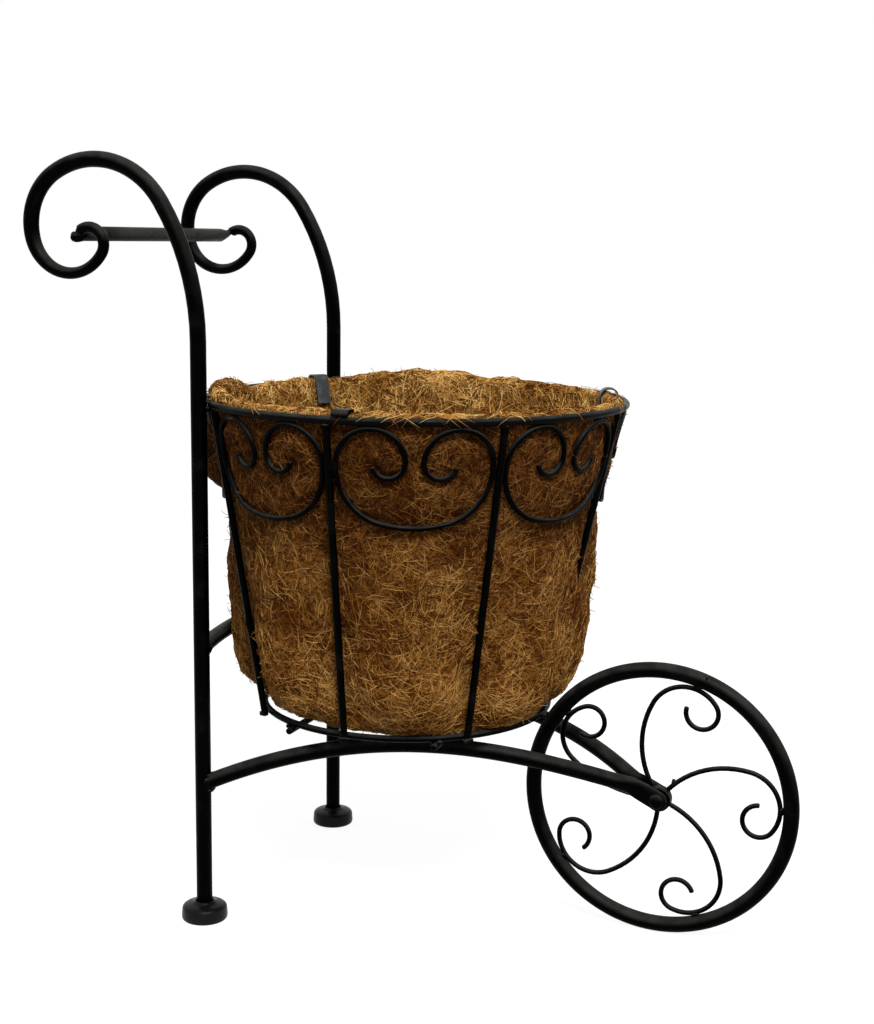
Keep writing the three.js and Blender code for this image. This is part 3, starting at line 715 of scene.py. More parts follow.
for node in FLOOR_WIRES:
    at = middle(node)
    reach_out = math.sqrt(BOTTOM_RING_RADIUS ** 2 - (at.x - BOTTOM_RING.x) ** 2)
    for _, side in SIDES:
        add_beads(bm, Vector((at.x, side * reach_out, (at.z + BOTTOM_RING.z) / 2)), FLOOR_WIRE_BEADS)
crossing = (middle("front_floor_wire").x - LEG_X) / (tab_start - LEG_X)
for _, side in SIDES:
    top = rail_point(crossing, side) + UP * (BAR_THICKNESS / 2 + WIRE_ON_RAIL_GAP)
    add_beads(bm, top, WIRE_ON_RAIL_BEADS)
finished("frame_weld_beads", bm, BLACK_PAINT, "frame")

bm = bmesh.new()
for point, outward, length in spoke_welds:
    out = Vector((outward.x, 0, outward.y))
    around = Vector((-outward.y, 0, outward.x))
    for _, side in SIDES:
        place = on_wheel(point) + out * SPOKE_BEAD_OUT + ACROSS * side * SPOKE_BEAD_ASIDE
        add_bead(bm, place, around, (length, SPOKE_BEAD_WIDTH, SPOKE_BEAD_HEIGHT))
nib_turn = Matrix.Rotation(math.radians(SPOKE_START - 360 / SPOKE_COUNT), 2)
add_bead(bm, on_wheel(nib_turn @ Vector((spoke_foot + HUB_NIB_PLACE[0], HUB_NIB_PLACE[1]))), UP, HUB_NIB)
seam = Matrix.Rotation(math.radians(SEAM_ANGLE), 2) @ Vector((wheel_radius + SEAM_PLACE[0], 0))
add_bead(bm, on_wheel(seam, SEAM_PLACE[1]), ACROSS, SEAM_BEAD)
finished("wheel_weld_beads", bm, BLACK_PAINT, "wheel")

# Coir liner: a bowl of matted coconut fibre, held with a little latex. It is soft enough to swell out
# between the ribs, and its floor does not lie quite flat on the wires.
LINER_WALL = 0.008
LINER_GAP = 0.0005
LINER_BULGE = 0.0172
LOBE_POWER = 1.3
BULGE_SOFTENING = 0.002
REAR_BULGE_SHARE = 0.92
SCROLL_SWELL = 0.0022
SWELL_START = 0.012
SWELL_STOP = (0.014, 0.003)
BESIDE_RIB = (0.1, 0.45)
WIRE_MARK = 0.0062
PUSHED_OUT_ANGLE = 205
PUSHED_OUT_DROP = 0.033
PUSHED_OUT_DEPTH = 0.0135
PUSHED_OUT_REACH = (0.027, 0.029)
PUSHED_OUT_FLAT_SHARE = 0.15
INNER_SWELL = 0.3
COVERING_DEPTH = 0.006
COVERING_REACH = (0.004, 0.02)
COVERING_START = 0.02
COVERING_TOP = 0.215
COVERING_FADE = (-0.012, 0.008)
CLIP_ANGLES = (-86, 36, 144.6)
CLIP_PINCH = 0.0032
CLIP_PINCH_DEPTH = 0.024
CLIP_PINCH_FADE = 0.006
CLIP_PINCH_WIDTH = (0.006, 0.013)
CLIP_PRESS = 0.0012
RIM_RISES = ((0, -0.002), (36, -0.003), (70, -0.0026), (86, -0.0014), (103, 0.0016), (112, 0.0036),
             (124, 0.0006), (135, -0.0018), (148, -0.0006), (160, -0.0022), (174, -0.0036), (192, 0.0036),
             (212, 0.0028), (240, -0.001), (300, -0.002), (360, -0.002))
BULGE_SHARES = ((0, 0), (0.035, 0.6), (0.09, 0.84), (0.22, 1), (0.38, 0.88), (0.6, 0.64), (0.77, 0.42),
                (1, 0))
LINER_STEPS = 300
UNDERSIDE_STEPS = 26
OUTSIDE_STEPS = 84
INSIDE_STEPS = 64
FLOOR_STEPS = 22
LINER_CORNER = 0.009
FOOT_CORNER = (0.005, 0.0045)
RIM_ROUNDING = 0.0036
RIM_SHAPED_DEPTH = 0.024
FLOOR_LIFT = 0.005
LIFT_ANGLE = -122
LIFT_FADE = (-1.5, -0.15)
LIFTED_HEIGHT = 0.05
UNLIFTED_RADIUS = 0.02
LUMP_DEPTHS = ((38, 0.0018), (90, 0.0013), (210, 0.0008), (520, 0.0004))
PINCHED_LUMPS = 0.85
COIR_GAP_SHADE = (0.04, 0.0095, 0.001, 1)
COIR_MIDDLE = (0.222, 0.084, 0.0135, 1)
COIR_LIGHT = (0.46, 0.22, 0.052, 1)
COIR_RED = (0.11, 0.028, 0.0032, 1)
PATCH_SPOTS = (42, 3)
PATCH_RANGE = (0.36, 0.7)
RED_SPOTS = (95, 4)
RED_RANGE = (0.48, 0.62)
COIR_ROUGHNESS = 0.9
COIR_GLOSS = 0.04
CLUMP_SPOTS = (380, 3)
CLUMP_BUMP = (0.6, 0.0012)
STRAND_BUMP = (1.0, 0.0009)
STRAND_LENGTH = 0.009
STRAND_WIDTH = 0.0007
STRAND_TURNS = ((8, 0), (38, 1.3), (67, 2.1), (97, 3.7), (128, 5.2), (156, 6.4))
STRAND_LINES = (0.545, 0.67)
STRAND_SPOTS = (1, 1.5)
WANDER_SPOTS = {"Scale": 90, "Detail": 2}
WANDER = (0.009, 0.009, 0)
WALL_EDGE = (-0.001, 0.002)
SHADED_BAND = 0.048
SHADE_FADE = 0.045
SHADE_STOP = (-0.008, -0.004)
RIM_LIGHT_BAND = (-0.006, -0.002)
RIM_LIGHT_SHARE = 0.75
INSIDE_LIGHT_FADE = (0.01, 0.04)
PALE_FOOT_FADE = (0.03, 0.1)
PALE_FOOT = (1.22, 1.24, 1.22)
SHADED_COLOUR = (0.6, 0.53, 0.5)
PAINTED_LIGHT_TINT = (2.14, 2.66, 3.3)
UV_AROUND = 0.11
UV_FOLD = (0.1, 0.6)

liner_low, liner_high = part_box("coir_liner")
LINER_FLOOR = liner_low[2]
LINER_RIM = liner_high[2]
panel_low = BOTTOM_RING.z + BOTTOM_RING_WIRE / 2 + LINER_GAP
panel_high = scroll_bottom - SCROLL_WIRE / 2 - LINER_GAP


def liner_outer(height):
    """The liner's outside radius at a rib."""
    return basket_radius(height) - RIB_WIRE / 2 / upright_share - LINER_GAP


def bulge_share(height):
    """How far the liner swells between the ribs at a height, from 0 to 1, on a smooth curve."""
    along = (height - panel_low) / (panel_high - panel_low)
    for index in range(1, len(BULGE_SHARES)):
        (low, before), (high, after) = BULGE_SHARES[index - 1], BULGE_SHARES[index]
        if low <= along < high:
            return before + (after - before) * (along - low) / (high - low)
    return 0


def beside(level, offsets):
    return [level + offset for offset in offsets]


def bulge_at(angle, height):
    if height < panel_low - LINER_CORNER:
        return 0
    lobe = abs(math.sin(RIB_COUNT * angle / 2)) ** LOBE_POWER
    is_rear = math.cos(angle) < -math.cos(2 * math.pi / RIB_COUNT)
    softened = sum(bulge_share(height + step * BULGE_SOFTENING) for step in (-1, 0, 1)) / 3
    return LINER_BULGE * softened * lobe * (REAR_BULGE_SHARE if is_rear else 1)


def wire_groove(angle, height):
    """0 where a scroll's wire lies over the liner, rising to 1 a little beside it."""
    panel = 2 * math.pi / RIB_COUNT
    sideways = ((angle / panel) % 1 - 0.5) * panel * basket_radius(height)
    nearest = min(math.hypot(across - sideways, level - height) for across, level in scroll_places)
    return smooth_share(nearest, SCROLL_WIRE / 2, WIRE_MARK)


def swell_at(angle, height, is_inner):
    """How far the liner presses out through the scrolls, with one place where it is pushed out further.
    Its inside follows only a little, and without the marks of the wires."""
    if not scroll_bottom < height < TOP_RING.z:
        return 0
    level = smooth_share(height, scroll_bottom, scroll_bottom + SWELL_START)
    level *= 1 - smooth_share(height, TOP_RING.z - SWELL_STOP[0], TOP_RING.z - SWELL_STOP[1])
    beside_rib = smooth_share(abs(math.sin(RIB_COUNT * angle / 2)), *BESIDE_RIB)
    aside = math.remainder(angle - math.radians(PUSHED_OUT_ANGLE), 2 * math.pi) * TOP_RING_RADIUS
    down = TOP_RING.z - PUSHED_OUT_DROP - height
    away = math.hypot(aside / PUSHED_OUT_REACH[0], down / PUSHED_OUT_REACH[1])
    pushed = PUSHED_OUT_DEPTH * (1 - smooth_share(away, PUSHED_OUT_FLAT_SHARE, 1))
    swell = SCROLL_SWELL * level * beside_rib + pushed
    return swell * INNER_SWELL if is_inner else swell * wire_groove(angle, height)


def covering_at(angle, height):
    """How far the liner swells over the lower part of the rib next to the wheel."""
    level = smooth_share(height, panel_low, panel_low + COVERING_START)
    level *= 1 - smooth_share(height, *beside(COVERING_TOP, COVERING_FADE))
    aside = abs(angle) * basket_radius(height)
    return COVERING_DEPTH * level * (1 - smooth_share(aside, *COVERING_REACH))


def lift_at(angle):
    """How far the liner's foot is off the floor wires, round the basket."""
    away = math.radians(LIFT_ANGLE) - angle
    away = math.atan2(math.sin(away), math.cos(away))
    return FLOOR_LIFT * smooth_share(-abs(away), *LIFT_FADE)


def liner_profile():
    """The outline of the bowl at a rib, from the middle of its underside, over the rim, to its inside."""
    foot = liner_outer(panel_low)
    floor_top = LINER_FLOOR + LINER_WALL
    rim_low = LINER_RIM - RIM_ROUNDING
    profile = [(foot * (count / UNDERSIDE_STEPS), LINER_FLOOR) for count in range(UNDERSIDE_STEPS - 2)]
    for angle in range(0, 91, 15):
        turn = math.radians(angle)
        wide, tall = FOOT_CORNER
        profile.append((foot - wide + wide * math.sin(turn), LINER_FLOOR + tall - tall * math.cos(turn)))
    heights = [panel_low + (rim_low - panel_low) * count / OUTSIDE_STEPS
               for count in range(1, OUTSIDE_STEPS + 1)]
    profile += [(liner_outer(height), height) for height in heights]
    rim_centre = (liner_outer(LINER_RIM) - LINER_WALL / 2, rim_low)
    profile += arc_places(rim_centre, (LINER_WALL / 2, RIM_ROUNDING), range(15, 180, 15))
    inner_low = floor_top + LINER_CORNER
    heights = [rim_low - (rim_low - inner_low) * count / INSIDE_STEPS for count in range(INSIDE_STEPS + 1)]
    profile += [(liner_outer(height) - LINER_WALL, height) for height in heights]
    corner = liner_outer(inner_low) - LINER_WALL - LINER_CORNER
    profile += arc_places((corner, inner_low), (LINER_CORNER, -LINER_CORNER), range(15, 91, 15))
    profile += [(corner * (1 - count / FLOOR_STEPS), floor_top) for count in range(1, FLOOR_STEPS)]
    return profile + [(0, floor_top)]


def rim_rise(angle):
    """How far the rim stands above or below its level round the bowl, from -pi to pi."""
    degrees = math.degrees(angle) % 360
    for (low, before), (high, after) in zip(RIM_RISES, RIM_RISES[1:]):
        if low <= degrees <= high:
            return before + (after - before) * smooth_share(degrees, low, high)


def clip_share(point):
    """1 where a clip presses on the inside of the rim, and 0 away from the clips."""
    angle = math.atan2(point.y, point.x - TOP_RING.x)
    nearest = min(abs(math.remainder(angle - math.radians(clip), 2 * math.pi)) for clip in CLIP_ANGLES)
    beside = 1 - smooth_share(nearest * TOP_RING_RADIUS, *CLIP_PINCH_WIDTH)
    clip_low = LINER_RIM - CLIP_PINCH_DEPTH
    return beside * smooth_share(point.z, clip_low - CLIP_PINCH_FADE, clip_low)


def lump_at(point):
    return sum(depth * noise.noise(point * grain) for grain, depth in LUMP_DEPTHS)


def shaded_coir(tree, place, colour):
    """Darkens coir on the outside below the rim with painted shade, partly stain, lightens its inside and
    the top of its rim with painted light, and makes its foot paler.
    """
    vectors = "ShaderNodeVectorMath"
    height = add_node(tree, "ShaderNodeSeparateXYZ", {0: place}).outputs["Z"]
    flat_place = worked(tree, "ADD", place, (-TOP_RING.x, 0, 0), vectors)
    flat_place = worked(tree, "MULTIPLY", flat_place, (1, 1, 0), vectors)
    radius = add_node(tree, vectors, {0: flat_place}, operation="LENGTH").outputs["Value"]
    past = worked(tree, "SUBTRACT", radius, worked(tree, "MULTIPLY", height, basket_slope))
    wall_radius = TOP_RING_RADIUS - TOP_RING.z * basket_slope - LINER_WALL / 2 - RIB_WIRE / 2
    outside = ranged(tree, past, *beside(wall_radius, WALL_EDGE))
    # A band below the rim on the outside is darkened: painted shade, with some stain.
    level = ranged(tree, height, LINER_RIM - SHADED_BAND - SHADE_FADE, LINER_RIM - SHADED_BAND)
    below_rim = ranged(tree, height, *beside(LINER_RIM, SHADE_STOP), 1, 0)
    shade = worked(tree, "MULTIPLY", worked(tree, "MULTIPLY", level, outside), below_rim)
    # The inside and the top of the rim are lightened: painted light.
    near_rim = ranged(tree, height, *beside(LINER_RIM, RIM_LIGHT_BAND), 0, RIM_LIGHT_SHARE)
    painted_light = worked(tree, "MAXIMUM", worked(tree, "SUBTRACT", 1, outside), near_rim)
    painted_light = worked(tree, "MULTIPLY", painted_light, ranged(tree, height, *beside(LINER_FLOOR, INSIDE_LIGHT_FADE)))
    low = ranged(tree, height, *beside(LINER_FLOOR, PALE_FOOT_FADE), 1, 0)
    dark, pale, paler = [worked(tree, "MULTIPLY", colour, tint, vectors)
                         for tint in (SHADED_COLOUR, PAINTED_LIGHT_TINT, PALE_FOOT)]
    return mixed(tree, shade, mixed(tree, painted_light, mixed(tree, low, colour, paler), pale), dark)


def matted_coir():
    """Coir mat seen close: crossing strands over gaps darkened with painted shade, in reddish and pale
    patches.
    """
    material, tree, shader = new_material("matted_coir")
    vectors = "ShaderNodeVectorMath"
    flat = add_node(tree, "ShaderNodeUVMap", uv_map="around").outputs["UV"]
    place = object_place(tree)
    wander = add_node(tree, "ShaderNodeTexNoise", {"Vector": flat, **WANDER_SPOTS}).outputs["Color"]
    bent = worked(tree, "ADD", flat, worked(tree, "MULTIPLY", wander, WANDER, vectors), vectors)
    strands = 0
    for degrees, shift in STRAND_TURNS:
        mapping = {"Vector": bent, "Location": (shift, shift, 0), "Rotation": (0, 0, math.radians(degrees)),
                   "Scale": (STRAND_LENGTH, STRAND_WIDTH, 1)}
        turned_flat = add_node(tree, "ShaderNodeMapping", mapping, vector_type="TEXTURE").outputs[0]
        line = ranged(tree, spotted(tree, turned_flat, *STRAND_SPOTS), *STRAND_LINES)
        strands = worked(tree, "MAXIMUM", strands, line)
    reds = ranged(tree, spotted(tree, place, *RED_SPOTS), *RED_RANGE)
    patches = ranged(tree, spotted(tree, place, *PATCH_SPOTS), *PATCH_RANGE)
    # The ground between the strands is painted shade, with reddish patches of the fibre's own colour.
    ground = mixed(tree, reds, COIR_GAP_SHADE, COIR_RED)
    tops = mixed(tree, patches, COIR_MIDDLE, COIR_LIGHT)
    clumps = bumped(tree, spotted(tree, place, *CLUMP_SPOTS), *CLUMP_BUMP)
    set_sockets(tree, shader, {
        "Base Color": shaded_coir(tree, place, mixed(tree, strands, ground, tops)),
        "Roughness": COIR_ROUGHNESS,
        "Specular IOR Level": COIR_GLOSS,
        "Normal": bumped(tree, strands, *STRAND_BUMP, clumps)})
    return material


COIR_MAT = matted_coir()

bm = bmesh.new()
draw_outline(bm, liner_profile())
spin_round(bm, LINER_STEPS)
bmesh.ops.remove_doubles(bm, verts=bm.verts, dist=MERGE_GAP)
bmesh.ops.recalc_face_normals(bm, faces=bm.faces)
foot_radius = liner_outer(panel_low)
scroll_places = []
for before, after in zip(whole_scroll, whole_scroll[1:]):
    for share in (0, 0.33, 0.67):
        scroll_places.append([low + (high - low) * share for low, high in zip(before, after)])
for vert in bm.verts:
    radius = math.hypot(vert.co.x, vert.co.y)
    height = vert.co.z
    angle = math.atan2(vert.co.y, vert.co.x)
    wall = smooth_share(radius, foot_radius - LINER_WALL - 2 * LINER_CORNER, foot_radius)
    is_inner = radius < liner_outer(height) - LINER_WALL / 2
    swollen = bulge_at(angle, height) + swell_at(angle, height, is_inner) + covering_at(angle, height)
    grown = radius + swollen * wall
    low_share = 1 - smooth_share(height, LINER_FLOOR, LINER_FLOOR + LIFTED_HEIGHT)
    lifted = height + lift_at(angle) * low_share * smooth_share(radius, UNLIFTED_RADIUS, foot_radius)
    rim_share = smooth_share(height, LINER_RIM - RIM_SHAPED_DEPTH, LINER_RIM)
    at = Vector((basket_middle(height) + grown * math.cos(angle), grown * math.sin(angle), lifted))
    pinched = clip_share(at)
    if is_inner:
        at += Vector((math.cos(angle), math.sin(angle), 0)) * CLIP_PINCH * pinched
    at.z += rim_share * (rim_rise(angle) * (1 - pinched) - CLIP_PRESS * pinched)
    vert.co = at
bm.normal_update()
for vert in bm.verts:
    vert.co += vert.normal * lump_at(vert.co) * (1 - PINCHED_LUMPS * clip_share(vert.co))
around = bm.loops.layers.uv.new("around")
for face in bm.faces:
    centre = face.calc_center_median()
    centre_angle = math.atan2(centre.y, centre.x - TOP_RING.x)
    for loop in face.loops:
        co = loop.vert.co
        angle = math.atan2(co.y, co.x - TOP_RING.x)
        angle = centre_angle + math.atan2(math.sin(angle - centre_angle), math.cos(angle - centre_angle))
        radius = math.hypot(co.x - TOP_RING.x, co.y)
        loop[around].uv = (angle * UV_AROUND, co.z + (UV_FOLD[0] - radius) * UV_FOLD[1])
bm.normal_update()
liner_tree = BVHTree.FromBMesh(bm)
# The spin leaves its faces in another order in each run, so they are put in the order of their corners.
bm.verts.index_update()
sheet = sorted(bm.faces, key=lambda face: sorted(vert.index for vert in face.verts))
sheet_faces = [(face.calc_center_median(), face.normal.copy(), face.calc_area()) for face in sheet]
finished("coir_liner_mat", bm, COIR_MAT, "liner", "coir_liner")

# Loose fibres: the coconut hairs that lie over one another on the mat's skin, some pale, some brown,
# some nearly black, with a few that stand off the surface or curl over the rim.
HAIR_STEPS = 4
HAIR_STEP = 0.0034
HAIRS_IN_PIECE = 5300
HAIR_SIZES = (0.65, 1.25)
HAIR_TIP_SHARE = 0.5
LAID_STEP_SHARES = (0.7, 1.7)
LAID_LIFTS = (0.0001, 0.001)
LAID_SINK = 0.00005
LAID_BEND = 0.22
FLAT_LIMIT = 0.2
LAID_BEND_CHANGE = 0.1
STRAY_LEANS = (0.1, 0.7)
STRAY_STEPS = (0.0005, 0.0017)
STRAY_BEND = 0.4
STRAY_ROOT = 0.0004
OVER_RING = ((-0.0066, 0.0044), (-0.003, 0.0036), (0.0, 0.0028), (0.0024, 0.0022), (0.0034, 0.0),
             (0.0037, -0.0026))
OVER_RING_COUNT = 60
OVER_RING_RUNS = (0.0012, 0.0042)
OVER_RING_WANDER = 0.0006
OVER_RING_LENGTHS = (4, 5, 6)
TUFT_ANGLES = (-68, 7)
START_SPREAD = 0.0008
CLEAR_OF_CLIP = 0.1
RIM_DEPTH = 0.0075
RIM_FACING = 0.15
FLOOR_FACING = 0.8
SIDE_HAIRS = (("outside", 30000, 1.3, 1.0, 0.12), ("rim", 5200, 1.4, 1.4, 0.05),
              ("inside", 8500, 1.3, 1.0, 0.02), ("floor", 1300, 1.5, 1.0, 0.01))
SHADE_PATCHES = ((0.75, 48), (0.5, 130))
SHADE_SPREAD = 0.36
LOW_PALENESS = 0.16
HIGH_LOSS = 0.3
HIGH_FADE = (0.02, 0.09)
PALE_ABOVE = 0.22
GOLDEN_ABOVE = -0.26
HAIR_SPOTS = (310, 4, 0.7)
HAIR_RANGE = (0.36, 0.64)
HAIR_ROUGHNESS = (0.6, 0.8)
HAIR_GLOSS = 0.06
HAIR_GLOSS_SPOTS = 700
SHADES = (
    ("pale", (0.62, 0.35, 0.11, 1), (0.41, 0.2, 0.046, 1), 0.00016),
    ("golden", (0.35, 0.148, 0.029, 1), (0.225, 0.082, 0.0128, 1), 0.00018),
    ("brown", (0.115, 0.031, 0.0038, 1), (0.05, 0.0125, 0.0014, 1), 0.00018),
)


def hair_material(name, light, dark):
    """One shade of coconut hair, a little lighter and darker from place to place."""
    material, tree, shader = new_material(name)
    place = object_place(tree)
    shade = ranged(tree, spotted(tree, place, *HAIR_SPOTS), *HAIR_RANGE)
    set_sockets(tree, shader, {
        # The hairs take the mat's painted shade below the rim and painted light inside and on the rim's top.
        "Base Color": shaded_coir(tree, place, mixed(tree, shade, dark, light)),
        "Roughness": ranged(tree, spotted(tree, place, HAIR_GLOSS_SPOTS), *SPOT_RANGE, *HAIR_ROUGHNESS),
        "Specular IOR Level": HAIR_GLOSS})
    return material


def laid_hair(start, normal, spread, loose):
    """Points of a hair that creeps over the mat from a start, bending as it goes, and lifts a little."""
    level = UP.cross(normal)
    if level.length < FLAT_LIMIT:
        level = ALONG
    direction = Matrix.Rotation(random.gauss(0, spread), 3, normal) @ level.normalized()
    bend = random.gauss(0, LAID_BEND)
    step = HAIR_STEP * random.uniform(*LAID_STEP_SHARES)
    lift = random.uniform(*LAID_LIFTS) * loose
    points = []
    point = start
    for count in range(HAIR_STEPS + 1):
        arch = math.sin(math.pi * count / HAIR_STEPS)
        points.append(point + normal * (lift * arch - LAID_SINK))
        direction = Matrix.Rotation(bend, 3, normal) @ direction
        point, normal, _, _ = liner_tree.find_nearest(point + direction * step)
        direction = (direction - normal * direction.dot(normal)).normalized()
        bend += random.gauss(0, LAID_BEND_CHANGE)
    return points


def any_direction():
    return Vector([random.gauss(0, 1) for _ in range(3)])


def stray_hair(start, normal):
    """Points of a hair that stands off the mat in a loose curve."""
    sideways = normal.cross(any_direction()).normalized()
    direction = (normal * random.uniform(*STRAY_LEANS) + sideways).normalized()
    turn_axis = any_direction().normalized()
    bend = random.gauss(0, STRAY_BEND)
    step = random.uniform(*STRAY_STEPS)
    points = []
    point = start - normal * STRAY_ROOT
    for _ in range(HAIR_STEPS + 2):
        points.append(point)
        point = point + direction * step
        direction = Matrix.Rotation(bend, 3, turn_axis) @ direction
    return points


def hair_over_ring():
    """Points of a hair that has come out of the rim and lies over the top ring, half of them in one tuft."""
    angle = math.radians(random.choice((random.uniform(-180, 180), random.gauss(*TUFT_ANGLES))))
    run = random.choice((-1, 1)) * random.uniform(*OVER_RING_RUNS)
    points = []
    for outward, above in OVER_RING[:random.choice(OVER_RING_LENGTHS)]:
        radius = TOP_RING_RADIUS + outward
        along, aside = radius * math.cos(angle), radius * math.sin(angle)
        points.append(Vector((TOP_RING.x + along, aside, TOP_RING.z + above)))
        angle += (run + random.gauss(0, OVER_RING_WANDER)) / radius
    return points


def hairs_of(faces, count, spread, loose, stray):
    """Hairs started on some faces of the mat, more on the larger ones, some of them stray."""
    hairs = []
    weights = [area for _, _, area in faces]
    for start, _, _ in random.choices(faces, weights=weights, k=count):
        jitter = Vector([random.gauss(0, START_SPREAD) for _ in range(3)])
        near, normal, _, _ = liner_tree.find_nearest(start + jitter)
        if random.random() < stray:
            hair = stray_hair(near, normal)
        else:
            hair = laid_hair(near, normal, spread, loose)
        if max(clip_share(point) for point in hair) < CLEAR_OF_CLIP:
            hairs.append(hair)
    return hairs


def wall_side(centre, normal):
    """Where on the bowl a face is: rim, outside, inside or floor."""
    if centre.z > LINER_RIM - RIM_DEPTH and normal.z > RIM_FACING:
        return "rim"
    if abs(normal.z) > FLOOR_FACING:
        return "floor"
    radial = Vector((centre.x - TOP_RING.x, centre.y, 0)).normalized()
    return "outside" if normal.dot(radial) > 0 else "inside"


def hair_shade(root):
    """The shade of a hair by the place of its root: 0 pale, 1 golden or 2 brown."""
    patch = sum(depth * noise.noise(root * grain) for depth, grain in SHADE_PATCHES)
    patch += random.gauss(0, SHADE_SPREAD)
    high = smooth_share(root.z, *beside(LINER_FLOOR, HIGH_FADE))
    patch += LOW_PALENESS - HIGH_LOSS * high
    return 0 if patch > PALE_ABOVE else 1 if patch > GOLDEN_ABOVE else 2


def hair_piece(name, hairs, material, radius):
    """Hairs as one curve object of fine four-sided strands."""
    line = bpy.data.curves.new(name, "CURVE")
    line.dimensions = "3D"
    line.bevel_depth = 1
    line.bevel_resolution = 0
    line.use_fill_caps = True
    for hair in hairs:
        spline = line.splines.new("POLY")
        spline.points.add(len(hair) - 1)
        spline.points.foreach_set("co", [value for point in hair for value in (*point, 1)])
        size = radius * random.uniform(*HAIR_SIZES)
        tip = size * HAIR_TIP_SHARE
        spline.points.foreach_set("radius", [tip, *[size] * (len(hair) - 2), tip])
    line.materials.append(material)
    piece = new_object(name, line)
    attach(piece, "liner")


random.seed(29)
mat_sides = {"rim": [], "outside": [], "inside": [], "floor": []}
for centre, normal, area in sheet_faces:
    mat_sides[wall_side(centre, normal)].append((centre, normal, area))
hairs = []
for side_name, count, spread, loose, stray in SIDE_HAIRS:
    hairs += hairs_of(mat_sides[side_name], count, spread, loose, stray)
hairs += [hair_over_ring() for _ in range(OVER_RING_COUNT)]
shade_piles = [[], [], []]
for hair in hairs:
    shade_piles[hair_shade(hair[0])].append(hair)
for (word, light, dark, radius), pile in zip(SHADES, shade_piles):
    material = hair_material(f"{word}_coconut_hair", light, dark)
    for count, start in enumerate(range(0, len(pile), HAIRS_IN_PIECE), 1):
        hair_piece(f"{word}_coir_hairs_{count}", pile[start:start + HAIRS_IN_PIECE], material, radius)

# Liner clips: three strips of thin steel, bent by hand over the ring and the liner's rim to hold it. One
# sits a little twisted, and the front one is given the frame's black paint as painted shade.
CLIP_WIDTH = 0.0095
CLIP_THICKNESS = 0.001
CLIP_BENDS = (0.0033, 0.0052, 0.0042)
CLIP_ENDS = (0.0024, 0.0004, 0.0012)
CLIP_TWISTS = (0, -14, 0)
STRIP_GREY = (0.06, 0.064, 0.07, 1)
STRIP_DARK = (0.03, 0.031, 0.034, 1)
STRIP_METALNESS = 0.45
STRIP_ROUGHNESS = (0.34, 0.52)
STRIP_SPOTS = (210, 4)
STRIP_RANGE = (0.4, 0.65)
STRIP_GLOSS_SPOTS = 600
STRIP_MARKS = 1900
STRIP_BUMP = (0.25, 0.00006)
PINCHED_WALL = 0.005
PINCH_GAP = 0.0005


def clip_steel():
    """Dark grey steel strip with fine marks from rolling, and darker where it was handled."""
    material, tree, shader = new_material("bent_clip_steel")
    place = object_place(tree)
    handled = ranged(tree, spotted(tree, place, *STRIP_SPOTS), *STRIP_RANGE)
    set_sockets(tree, shader, {
        "Base Color": mixed(tree, handled, STRIP_GREY, STRIP_DARK),
        "Metallic": STRIP_METALNESS,
        "Roughness": ranged(tree, spotted(tree, place, STRIP_GLOSS_SPOTS), *SPOT_RANGE, *STRIP_ROUGHNESS),
        "Normal": bumped(tree, spotted(tree, place, STRIP_MARKS), *STRIP_BUMP)})
    return material


CLIP_STEEL = clip_steel()
outer_face = TOP_RING_RADIUS + TOP_RING_WIRE / 2 + SEAT_GAP + CLIP_THICKNESS / 2
inner_face = liner_outer(LINER_RIM) - PINCHED_WALL - PINCH_GAP - CLIP_THICKNESS / 2
for index, bend in enumerate(CLIP_BENDS):
    node = f"liner_clip_{index + 1}"
    low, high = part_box(node)
    top = high[2] - CLIP_THICKNESS / 2
    outline = [(outer_face, TOP_RING.z + CLIP_ENDS[index]),
               *arc_places((outer_face - bend, top - bend), (bend, bend), range(0, 91, 15)),
               *arc_places((inner_face + bend, top - bend), (bend, bend), range(90, 181, 15)),
               (inner_face - (top - low[2]) * basket_slope, low[2])]
    bm = bmesh.new()
    edges = draw_outline(bm, outline, -CLIP_WIDTH / 2)
    grown = bmesh.ops.extrude_edge_only(bm, edges=edges)["geom"]
    moved = [item for item in grown if isinstance(item, bmesh.types.BMVert)]
    bmesh.ops.translate(bm, verts=moved, vec=(0, CLIP_WIDTH, 0))
    bmesh.ops.solidify(bm, geom=bm.faces[:], thickness=CLIP_THICKNESS)
    bmesh.ops.recalc_face_normals(bm, faces=bm.faces)
    for degrees, radius in ((CLIP_TWISTS[index], (outer_face + inner_face) / 2), (CLIP_ANGLES[index], 0)):
        turn = Matrix.Rotation(math.radians(degrees), 3, "Z")
        bmesh.ops.rotate(bm, verts=bm.verts, cent=(radius, 0, 0), matrix=turn)
    bmesh.ops.translate(bm, verts=bm.verts, vec=(TOP_RING.x, 0, 0))
    # The front clip takes the frame's black paint: painted shade.
    material = CLIP_STEEL if index else BLACK_PAINT
    finished(f"rim_clip_{index + 1}", bm, material, "liner", node)

# Studio: a white floor that keeps a soft shadow, an even white surround and one soft lamp high on the
# right, with the camera where the photograph was taken.
CAMERA_PLACE = (0.3687, -0.9215, 0.4115)
CAMERA_TURN = 21.74
CAMERA_TILT = 9.49
CAMERA_ROLL = 0.686
CAMERA_LENS = 57.75
SENSOR_HEIGHT = 36
FLOOR_HALF = 30
FLOOR_GREY = (0.42, 0.42, 0.42, 1)
FLOOR_ROUGHNESS = 0.9
FLOOR_GLOW = 0.9
SURROUND_LIGHT = 0.28
WHITE = (1, 1, 1, 1)
LAMP_SIZE = 0.6
LAMP_POWER = 38
LAMP_PLACE = (0.8, -1.2, 1.8)
LAMP_AIM = (0, 0, 0.2)


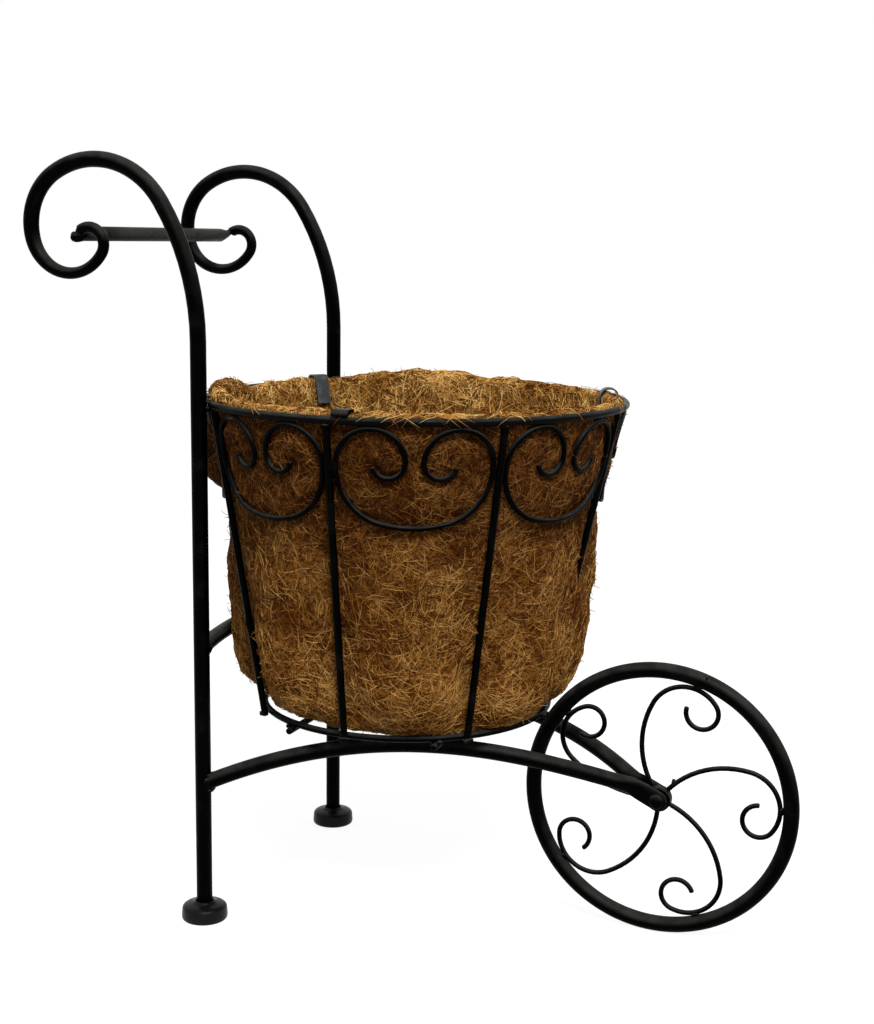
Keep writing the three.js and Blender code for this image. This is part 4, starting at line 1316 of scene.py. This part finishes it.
def seen_by(tree, kinds):
    """1 for some kinds of rays and 0 for all the others."""
    rays = add_node(tree, "ShaderNodeLightPath").outputs
    seen = rays[kinds[0]]
    for kind in kinds[1:]:
        seen = worked(tree, "MAXIMUM", seen, rays[kind])
    return seen


floor_mesh = bpy.data.meshes.new("studio_floor")
bm = bmesh.new()
bmesh.ops.create_grid(bm, x_segments=1, y_segments=1, size=FLOOR_HALF)
bm.to_mesh(floor_mesh)
bm.free()
new_object("studio_floor", floor_mesh)
floor_material, tree, shader = new_material("white_floor")
glow = worked(tree, "MULTIPLY", seen_by(tree, ("Is Camera Ray", "Is Glossy Ray")), FLOOR_GLOW)
set_sockets(tree, shader, {"Base Color": FLOOR_GREY, "Roughness": FLOOR_ROUGHNESS, "Specular IOR Level": 0,
                           "Emission Color": WHITE, "Emission Strength": glow})
floor_mesh.materials.append(floor_material)

world = bpy.data.worlds.new("white_surround")
bpy.context.scene.world = world
world.use_nodes = True
tree = world.node_tree
seen = seen_by(tree, ("Is Camera Ray", "Is Glossy Ray", "Is Transmission Ray"))
level = add_node(tree, "ShaderNodeMapRange", {"Value": seen, "To Min": SURROUND_LIGHT, "To Max": 1})
set_sockets(tree, tree.nodes["Background"], {"Color": WHITE, "Strength": level.outputs["Result"]})

lamp_data = bpy.data.lights.new("soft_lamp", "AREA")
lamp_data.shape = "SQUARE"
lamp_data.size = LAMP_SIZE
lamp_data.energy = LAMP_POWER
lamp = new_object("soft_lamp", lamp_data)
lamp.location = LAMP_PLACE
lamp.rotation_euler = (Vector(LAMP_AIM) - lamp.location).to_track_quat("-Z", "Y").to_euler()

camera_data = bpy.data.cameras.new("camera")
camera_data.sensor_fit = "VERTICAL"
camera_data.sensor_height = SENSOR_HEIGHT
camera_data.lens = CAMERA_LENS
camera = new_object("camera", camera_data)
aim = (Matrix.Rotation(math.radians(CAMERA_TURN), 4, "Z")
       @ Matrix.Rotation(math.radians(90 - CAMERA_TILT), 4, "X")
       @ Matrix.Rotation(math.radians(CAMERA_ROLL), 4, "Z"))
camera.matrix_world = Matrix.Translation(CAMERA_PLACE) @ aim
bpy.context.scene.camera = camera
bpy.context.scene.view_settings.view_transform = "Standard"
